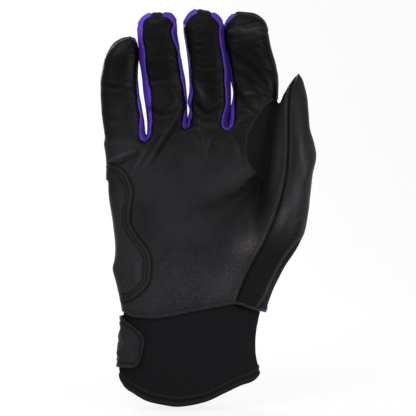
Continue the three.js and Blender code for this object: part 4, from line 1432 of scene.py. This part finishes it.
class GLOVE_OT_stage(bpy.types.Operator):
    """Pale floor and backdrop, soft lamps and the camera"""

    bl_idname = "glove.stage"
    bl_label = "Stage"

    def execute(self, context):
        camera = bpy.data.objects.new("camera", bpy.data.cameras.new("camera"))
        camera.data.lens = 100
        camera.data.sensor_width = 36
        camera.data.clip_end = 20
        camera.location = CAMERA_PLACE
        camera.rotation_euler = (np.pi / 2, 0, 0)
        context.scene.collection.objects.link(camera)
        context.scene.camera = camera
        make_floor()
        context.scene.world = make_world()
        for name, place, size, power in LAMPS:
            lamp = bpy.data.objects.new(name, bpy.data.lights.new(name, "AREA"))
            lamp.data.size = size
            lamp.data.energy = power
            lamp.location = place
            aim = Vector(LAMP_AIM) - lamp.location
            lamp.rotation_euler = aim.to_track_quat("-Z", "Y").to_euler()
            context.scene.collection.objects.link(lamp)
        context.scene.view_settings.view_transform = "Standard"
        return {"FINISHED"}


# Skin, palm and fingers


class GLOVE_OT_skin(bpy.types.Operator):
    """Materials, and the worn glove's whole surface, cut into its panels"""

    bl_idname = "glove.skin"
    bl_label = "Skin"

    def execute(self, context):
        make_materials(settings().stretch)
        skin = make_skin(settings().voxel / MM)
        SKIN["tree"] = skin.tree()
        hand = skin.split(skin.z - through(HEM_X, HEM_Z, skin.x))[1]
        hand, SKIN["outer"] = hand.split(thumb_side(hand.x, hand.y, hand.z))
        hand, SKIN["gusset"] = hand.split(gusset_side(hand.x, hand.z))
        hand, SKIN["inner"] = hand.split(hand.x - through(FOLD_Z, FOLD_X, hand.z))
        hand, walls = hand.split(wall_side(hand.u, hand.y, hand.z))
        hand, SKIN["fingers"] = hand.split(hand.z - crease_height(hand.u))
        SKIN["webs"], SKIN["walls"] = walls.split(walls.z - crease_height(walls.u))
        SKIN["palm"], SKIN["back"] = hand.split(front_back(hand.u, hand.y, hand.z))
        return {"FINISHED"}


class GLOVE_OT_heel_patch(bpy.types.Operator):
    """The second layer of leather over the heel of the palm"""

    bl_idname = "glove.heel_patch"
    bl_label = "Heel patch"

    def execute(self, context):
        lift = settings().patch_lift / MM
        palm = SKIN["palm"]
        smooth = smooth_path(HEEL_PATCH[1:-1], 70)
        outline = [HEEL_PATCH[0], *smooth, HEEL_PATCH[-1]]
        inside = inside_polygon(palm.x, palm.z, outline)
        # Painted shade on the palm beside the patch's edge.
        palm.seam[:] = np.maximum(palm.seam, 0.85 * bell(inside + 0.5, 0.8))
        patch = palm.split(inside)[1]
        depth = inside_polygon(patch.x, patch.z, outline)
        raised = lift * np.sqrt(np.clip(depth / 0.9, 0.12, 1))
        raised *= 0.25 + 0.75 * ramp(-patch.normals[:, 1], 0.1, 0.7)
        # Painted shade along the patch's edge and in its stitched grooves.
        patch.seam[:] += 0.4 * bell(depth, 0.5)
        for inset in PATCH_SEAMS:
            raised -= 0.35 * bell(depth - inset, 0.6)
            patch.seam[:] += 0.75 * bell(depth - inset, 0.5)
        patch.shown[:] += patch.normals * raised[:, None]
        patch.normals[:] = vertex_normals(patch.shown, patch.triangles)
        piece = shell_object("heel_patch_skin", patch, lift + 0.2, MATERIALS["heel"])
        dress(piece, "heel_leather", "heel_patch", body="hand")
        SKIN["patch_outline"] = smooth
        SKIN["patch_tree"] = patch.tree()
        return {"FINISHED"}


class GLOVE_OT_hand(bpy.types.Operator):
    """Palm, back of the hand and the webs between the fingers"""

    bl_idname = "glove.hand"
    bl_label = "Hand"

    def execute(self, context):
        leather, cloth = thicknesses()
        palm = shell_object("palm", SKIN["palm"], leather, MATERIALS["leather"])
        dress(palm, "leather", "palm_leather", body="hand")
        back = shell_object("hand_back", SKIN["back"], cloth, MATERIALS["back"])
        dress(back, "back_fabric", "back_panel", body="hand")
        rest = SKIN["webs"]
        for k in range(len(FINGERS) - 1):
            web, rest = rest.split(rest.u - (k + 1.5) * LANE_PITCH)
            node = f"web_{FINGERS[k]}_{FINGERS[k + 1]}"
            piece = shell_object(node + "_knit", web, cloth, MATERIALS["purple"])
            dress(piece, "purple_stretch", node, body="hand")
        return {"FINISHED"}


def finger_bend(k):
    """Where finger k's leather begins and ends to turn with it, in metres."""
    u = k * LANE_PITCH + np.array([0, LANE])
    z = crease_height(u)
    x = real_x(u, z)
    middle = np.array([x.mean(), 0, z.mean()])
    up = np.array([z[0] - z[1], 0, x[1] - x[0]])
    up /= np.linalg.norm(up)
    return [tuple((middle + up * reach) * MM) for reach in FINGER_BEND]


class GLOVE_OT_fingers(bpy.types.Operator):
    """Fronts, backs and stretch walls of the four fingers"""

    bl_idname = "glove.fingers"
    bl_label = "Fingers"

    def execute(self, context):
        leather, cloth = thicknesses()
        rest, wall_rest = SKIN["fingers"], SKIN["walls"]
        for k, name in enumerate(FINGERS):
            finger, rest = rest.split(rest.u - gap_middle(k))
            walls, wall_rest = wall_rest.split(wall_rest.u - gap_middle(k))
            left, right = walls.split(walls.u - gap_middle(k) + LANE_PITCH / 2)
            front, back = finger.split(front_back(finger.u, finger.y, finger.z))
            parts = [("front", front, leather, "leather", "leather"),
                     ("back", back, cloth, "back", "back_fabric")]
            if k > 0:
                parts.append(("ulnar_wall", left, cloth, "purple", "purple_stretch"))
            if k < len(FINGERS) - 1:
                parts.append(("radial_wall", right, cloth, "purple", "purple_stretch"))
            start, end = finger_bend(k)
            for part, sheet, thickness, material, slot in parts:
                node = f"{name}_{part}"
                piece = shell_object(node + "_skin", sheet, thickness, MATERIALS[material])
                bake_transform(piece)
                dress(piece, slot, node)
        return {"FINISHED"}


class GLOVE_OT_thumb(bpy.types.Operator):
    """Both leathers of the thumb, its ridge seam and the mesh gusset"""

    bl_idname = "glove.thumb"
    bl_label = "Thumb"

    def execute(self, context):
        leather, cloth = thicknesses()
        inner = shell_object("thumb_inner_skin", SKIN["inner"], leather, MATERIALS["thumb"])
        outer = shell_object("thumb_outer_skin", SKIN["outer"], leather, MATERIALS["thumb"])
        z = np.linspace(66.5, 208.5, 150)
        places, normals = front_of(np.stack([through(SEAM_Z, SEAM_X, z) + 0.2, z], 1))
        ridge = beading_object("thumb_seam_ridge", soften(places, 4), normals, 1.3, 0.45,
                               MATERIALS["thumb"])
        for piece in (inner, outer, ridge):
            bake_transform(piece)
        dress(inner, "leather", "thumb_inner")
        dress(outer, "leather", "thumb_outer", "thumb_panel_lower")
        dress(ridge, "leather")
        gusset = shell_object("thumb_mesh_skin", SKIN["gusset"], cloth, MATERIALS["mesh"])
        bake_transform(gusset)
        dress(gusset, "mesh", "thumb_gusset")
        return {"FINISHED"}


# Wrist and cuff


def beside(ys, z, side):
    """Points and normals on the skin at height z, seen from its little-finger or thumb side."""
    hits = [SKIN["tree"].ray_cast(Vector((OUTSIDE_X * side, y, z)), Vector((-side, 0, 0)))
            for y in ys]
    return [[hit[0] for hit in hits], [hit[1] for hit in hits]]


def elastic_rows():
    """Rows of the gathering elastic: along the palm side of the cuff, ruffled."""
    low, high = (np.array(corner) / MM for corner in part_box("wrist_elastic"))
    rows = []
    for z in np.linspace(low[2], high[2], 7):
        palm_side = cuff_outline(z, -3.2)[CUFF_COLUMNS // 2:]
        x = np.linspace(low[0], high[0], 120)
        y = np.maximum(np.interp(x, palm_side[:, 0], palm_side[:, 1]), low[1])
        ruffle = 0.35 * np.sin(x * 1.9) * np.cos((z - low[2]) * 0.4)
        rows.append(np.stack([x, y + ruffle + 0.6, np.full_like(x, z)], 1))
    return rows


class GLOVE_OT_wrist(bpy.types.Operator):
    """Rolled palm hem, back trim and the gathering elastic inside the wrist"""

    bl_idname = "glove.wrist"
    bl_label = "Wrist"

    def execute(self, context):
        xs = np.linspace(-41.5, 47.2, 130)
        hem = np.stack([xs, through(HEM_X, HEM_Z, xs) + 0.7], 1)
        places, normals = front_of(hem)
        roll = beading_object("palm_hem_roll", soften(places, 3), normals, 2.2, 0.9,
                              MATERIALS["leather"])
        dress(roll, "leather", "palm_hem", body="hand")
        lines = [beside((2, 4.5, 7), hem[0, 1], -1), front_of(hem, side=1),
                 beside((9, 6, 3, 0, -3), hem[-1, 1], 1)]
        places, normals = (np.concatenate(found) for found in zip(*lines))
        trim = beading_object("back_trim_knit", soften(places, 6), soften(normals, 8), 4.4, 0.8,
                              MATERIALS["purple"])
        dress(trim, "purple_stretch", "back_trim", body="hand")
        band = grid_object("wrist_elastic_band", elastic_rows(), 0.8, MATERIALS["elastic"])
        dress(band, "elastic", "wrist_elastic", body="hand")
        return {"FINISHED"}


def cuff_edge(column, edge_x, edge_z, above, z):
    """The height at which a column of the cuff's outline meets an edge, from a first guess z."""
    for _ in range(6):
        x = cuff_outline(z, 0)[column, 0]
        z = float(through(edge_x, edge_z, x)) + above
    return z


def hem_profile():
    """The bound hem's section: heights above its lower edge, how far it stands out at each, and
    the painted shade in its sewn grooves."""
    heights = np.linspace(0, 7.3, 23)
    roll = np.sqrt(np.clip(1 - ((heights - 1.5) / 1.6) ** 2, 0, 1))
    ridge = 0.55 * bell(heights - 5.4, 0.9)
    bulges = 0.25 + roll + ridge - 0.25 * ramp(heights, 6.4, 7.2)
    grooves = np.clip(bell(heights - 3.75, 0.75) + 0.8 * bell(heights - 6.9, 0.4), 0, 1)
    return heights, bulges, grooves


class GLOVE_OT_cuff(bpy.types.Operator):
    """The stretch cuff and its bound lower edge"""

    bl_idname = "glove.cuff"
    bl_label = "Cuff"

    def execute(self, context):
        heights, bulges, grooves = hem_profile()
        rows = np.empty((CUFF_ROWS, CUFF_COLUMNS, 3))
        hem = np.empty((len(heights), CUFF_COLUMNS, 3))
        for column in range(CUFF_COLUMNS):
            low = cuff_edge(column, CUFF_HEM_X, CUFF_HEM_Z, 0, 0)
            top = cuff_edge(column, HEM_X, HEM_Z, 3, 62)
            for row, z in zip(rows, np.linspace(low + 0.6, top, CUFF_ROWS)):
                tuck = 1.1 * ramp(z, top - 4.5, top - 2.5)
                gather = 0.16 * np.sin(column * 0.31) * np.sin(z * 0.21 + column * 0.05)
                row[column] = (*cuff_outline(z, gather - tuck)[column], z)
            for row, z, bulge in zip(hem, low + heights, bulges):
                row[column] = (*cuff_outline(z, bulge)[column], z)
        cuff = grid_object("cuff_knit", rows, 2.2, MATERIALS["neoprene"], closed=True)
        # Painted shade in the hem's sewn grooves darkens the band.
        band = grid_object("cuff_hem_band", hem, 2.4, MATERIALS["binding"], closed=True,
                           dark=np.repeat(grooves[:, None], CUFF_COLUMNS, 1))
        for piece, node, slot in ((cuff, "cuff", "neoprene"), (band, "cuff_hem", "binding")):
            recalculate(piece)
            dress(piece, slot, node, body="hand")
        SKIN["hem_rows"] = hem
        return {"FINISHED"}


# Strap


class TabOutline:
    """The strap tab's edges, in arc length round the cuff and height."""

    def __init__(self):
        self.top = [(strap_s(x), z) for x, z in TAB_TOP]
        self.low = [(strap_s(x), z) for x, z in TAB_LOW]

    def heights(self, s):
        """Its lowest and highest point at arc length s: the strap's own before the palm side."""
        low, high = STRAP_Z
        if s > 0:
            low = max(low, np.interp(s, *zip(*self.low)))
            high = min(high, np.interp(s, *zip(*self.top)))
        return low, high

    def border(self, s_from):
        """A line a little inside the edge, from the strap round the tab's end and back."""
        line = [(s_from, TAB_BORDER_Z[1])]
        line += [(s - TAB_BORDER, z - TAB_BORDER) for s, z in self.top]
        line += [(s - TAB_BORDER, z + TAB_BORDER) for s, z in self.low[::-1]]
        line += [(s_from, TAB_BORDER_Z[0])]
        return soften(even(line, 0.8), 4)


def strap_band(name, s_from, s_to, offset, thickness, material, heights=STRAP_Z):
    """A flat length of strap or tape round the cuff, between two arc lengths."""
    columns = max(4, int(abs(s_to - s_from) / 0.6))
    rows = [[cuff_place(s, z, offset) for z in np.linspace(*heights, 40)]
            for s in np.linspace(s_from, s_to, columns)]
    made = grid_object(name, rows, thickness, MATERIALS[material])
    recalculate(made)
    return made


def tab_leather(outline, s_from, s_to):
    """The tab's leather, creased by use inside a groove along its edge, with painted shade in the
    groove.
    """
    rows, dark = [], []
    for s in np.linspace(s_from, s_to, int((s_to - s_from) / 0.35)):
        low, high = outline.heights(s)
        heights = np.linspace(low, high, 80)
        spots = np.stack([np.full_like(heights, s), np.zeros_like(heights), heights], 1)
        inset = np.minimum(np.minimum(heights - low, high - heights), s_to - s)
        creases = sum(height * smooth_noise(spots, size, seed)
                      for height, size, seed in TAB_CREASES)
        lift = creases * ramp(inset, 3.2, 5.0) - 0.5 * bell(inset - TAB_GROOVE, 0.7)
        rows.append([cuff_place(s, z, 1.9 + rise) for z, rise in zip(heights, lift)])
        dark.append(bell(inset - TAB_GROOVE, 0.75))
    made = grid_object("strap_tab_leather", rows, 0.9, MATERIALS["heel"], dark=dark)
    recalculate(made)
    return made


class GLOVE_OT_strap(bpy.types.Operator):
    """The strap across the back of the cuff, its tab, binding and fastener patches"""

    bl_idname = "glove.strap"
    bl_label = "Strap"

    def execute(self, context):
        s_anchor, s_fold = strap_s(18, front=False), strap_s(-36, front=False)
        strap = strap_band("strap_back_band", s_anchor, s_fold + 1.6, 2.6, 1.8, "neoprene")
        dress(strap, "neoprene", "strap_back", body="strap")
        anchor = strap_band("strap_anchor_box", s_anchor - 8.5, s_anchor - 0.3, 2.4, 2.2,
                            "neoprene")
        dress(anchor, "neoprene", "strap_anchor", body="hand")
        outline = TabOutline()
        tab = tab_leather(outline, s_fold + 0.9, outline.top[-1][0])
        border = outline.border(s_fold + 1.2)
        places = np.array([cuff_place(s, z, 1.9) for s, z in border])
        outward = np.array([cuff_place(s, z, 5.1) for s, z in border]) - places
        binding = beading_object("tab_edge_binding", places, outward, 2.5, 0.85,
                                 MATERIALS["binding"])
        hook = strap_band("hook_pad", strap_s(-41.5), strap_s(-32.5), 1.15, 0.5, "tape",
                          (29.5, 44.5))
        loop = strap_band("loop_pad", strap_s(-41.5), strap_s(-32), 0.6, 0.55, "tape",
                          (29.0, 45.5))
        for piece in (tab, binding):
            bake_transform(piece)
        dress(tab, "leather", "strap_tab")
        dress(binding, "binding", "tab_binding")
        dress(hook, "hook_and_loop", "hook_patch", body="tab")
        dress(loop, "hook_and_loop", "loop_patch", body="hand")
        return {"FINISHED"}


# Stitches


def stitch_tree(material, sizes):
    """Geometry nodes: a row of stitches along a curve, each a small rounded thread. The tree's
    inputs have the names and the values in sizes."""
    tree = bpy.data.node_groups.new("stitch_row", "GeometryNodeTree")
    face = tree.interface
    face.new_socket("Geometry", in_out="INPUT", socket_type="NodeSocketGeometry")
    for name, value in sizes.items():
        kind = "NodeSocketInt" if isinstance(value, int) else "NodeSocketFloat"
        face.new_socket(name, in_out="INPUT", socket_type=kind).default_value = value
    face.new_socket("Geometry", in_out="OUTPUT", socket_type="NodeSocketGeometry")

    def node(kind, setup=None, **inputs):
        return add_node(tree, kind, setup, inputs).outputs

    entry = node("NodeGroupInput")
    row = node("GeometryNodeResampleCurve", {"mode": "LENGTH"}, Curve=entry["Geometry"],
               Length=entry["Pitch"])
    thread = node("GeometryNodeMeshUVSphere", Segments=8, Rings=6, Radius=0.5)
    size = node("ShaderNodeCombineXYZ", X=entry["Thickness"], Y=entry["Thickness"],
                Z=entry["Length"])
    shaped = node("GeometryNodeTransform", Geometry=thread["Mesh"], Scale=size[0])
    tangent = node("GeometryNodeInputTangent")
    turn = node("FunctionNodeAlignRotationToVector", {"axis": "Z"}, Vector=tangent[0])
    wobble = add_node(tree, "FunctionNodeRandomValue", {"data_type": "FLOAT"},
                      {2: 0.88, 3: 1.1, "Seed": entry["Seed"]}).outputs
    stitches = node("GeometryNodeInstanceOnPoints", Points=row["Curve"], Instance=shaped[0],
                    Rotation=turn[0], Scale=wobble[1])
    real = node("GeometryNodeRealizeInstances", Geometry=stitches[0])
    painted = node("GeometryNodeSetMaterial", Geometry=real[0], Material=material)
    node("NodeGroupOutput", Geometry=painted[0])
    return tree


def stitch_rows(name, rows, thickness, slot):
    """Rows of stitches along lists of points, in mm, made one plain mesh."""
    curve = bpy.data.curves.new(name, "CURVE")
    curve.dimensions = "3D"
    for points in rows:
        spline = curve.splines.new("POLY")
        spline.points.add(len(points) - 1)
        spline.points.foreach_set("co", np.concatenate(
            [np.asarray(points) * MM, np.ones((len(points), 1))], 1).reshape(-1))
    holder = bpy.data.objects.new(name + "_path", curve)
    bpy.context.scene.collection.objects.link(holder)
    sizes = {"Pitch": settings().stitch_pitch, "Length": settings().stitch_length,
             "Thickness": thickness * MM, "Seed": settings().seed}
    modifier = holder.modifiers.new("stitches", "NODES")
    modifier.node_group = stitch_tree(MATERIALS["thread"], sizes)
    for item in modifier.node_group.interface.items_tree:
        if item.in_out == "INPUT" and item.name in sizes:
            modifier[item.identifier] = sizes[item.name]
    graph = bpy.context.evaluated_depsgraph_get()
    graph.update()
    mesh = bpy.data.meshes.new_from_object(holder.evaluated_get(graph))
    mesh.name = name
    bpy.data.objects.remove(holder)
    dress(finish_object(name, mesh, MATERIALS["thread"]), slot, body="hand")


class GLOVE_OT_stitches(bpy.types.Operator):
    """Rows of stitches on the heel patch, the palm hem and the cuff's hem"""

    bl_idname = "glove.stitches"
    bl_label = "Stitches"

    def execute(self, context):
        rows = []
        for inset in PATCH_SEAMS:
            path = soften(even(offset_path(SKIN["patch_outline"], -inset), 0.8), 6)
            rows.append(soften(front_of(path, 0.1, tree="patch_tree")[0], 2))
        stitch_rows("heel_patch_stitches", rows, 0.55, "heel_leather")
        xs = np.linspace(-40, 46, 110)
        hem = np.stack([xs, through(HEM_X, HEM_Z, xs) + 2.9], 1)
        stitch_rows("palm_hem_stitches", [soften(front_of(hem, 0.1)[0], 3)], 0.45, "leather")
        rows = []
        for ring in SKIN["hem_rows"][STITCHED_HEM_ROWS]:
            ring = ring + unit((ring - ring.mean(0)) * (1, 1, 0)) * 0.1
            rows.append(np.concatenate([ring, ring[:1]]))
        stitch_rows("cuff_hem_stitches", rows, 0.5, "binding")
        return {"FINISHED"}


# Panel and run


class GLOVE_PT_panel(bpy.types.Panel):
    """Sizes, colours and steps of the glove"""

    bl_idname = "GLOVE_PT_panel"
    bl_label = "Batting glove"
    bl_space_type = "VIEW_3D"
    bl_region_type = "UI"
    bl_category = "Glove"

    def draw(self, context):
        for name in GLOVE_PG_settings.__annotations__:
            self.layout.prop(context.scene.glove_settings, name)
        for operator in OPERATORS:
            self.layout.operator(operator.bl_idname)


OPERATORS = [
    GLOVE_OT_stage,
    GLOVE_OT_skin,
    GLOVE_OT_heel_patch,
    GLOVE_OT_hand,
    GLOVE_OT_fingers,
    GLOVE_OT_thumb,
    GLOVE_OT_wrist,
    GLOVE_OT_cuff,
    GLOVE_OT_strap,
    GLOVE_OT_stitches,
]


def register():
    for made in [GLOVE_PG_settings, *OPERATORS, GLOVE_PT_panel]:
        bpy.utils.register_class(made)
    bpy.types.Scene.glove_settings = bpy.props.PointerProperty(type=GLOVE_PG_settings)


def unregister():
    del bpy.types.Scene.glove_settings
    for made in [GLOVE_PT_panel, *OPERATORS[::-1], GLOVE_PG_settings]:
        bpy.utils.unregister_class(made)


def main():
    register()
    for operator in OPERATORS:
        group, name = operator.bl_idname.split(".")
        getattr(getattr(bpy.ops, group), name)()


if __name__ == "__main__":
    main()
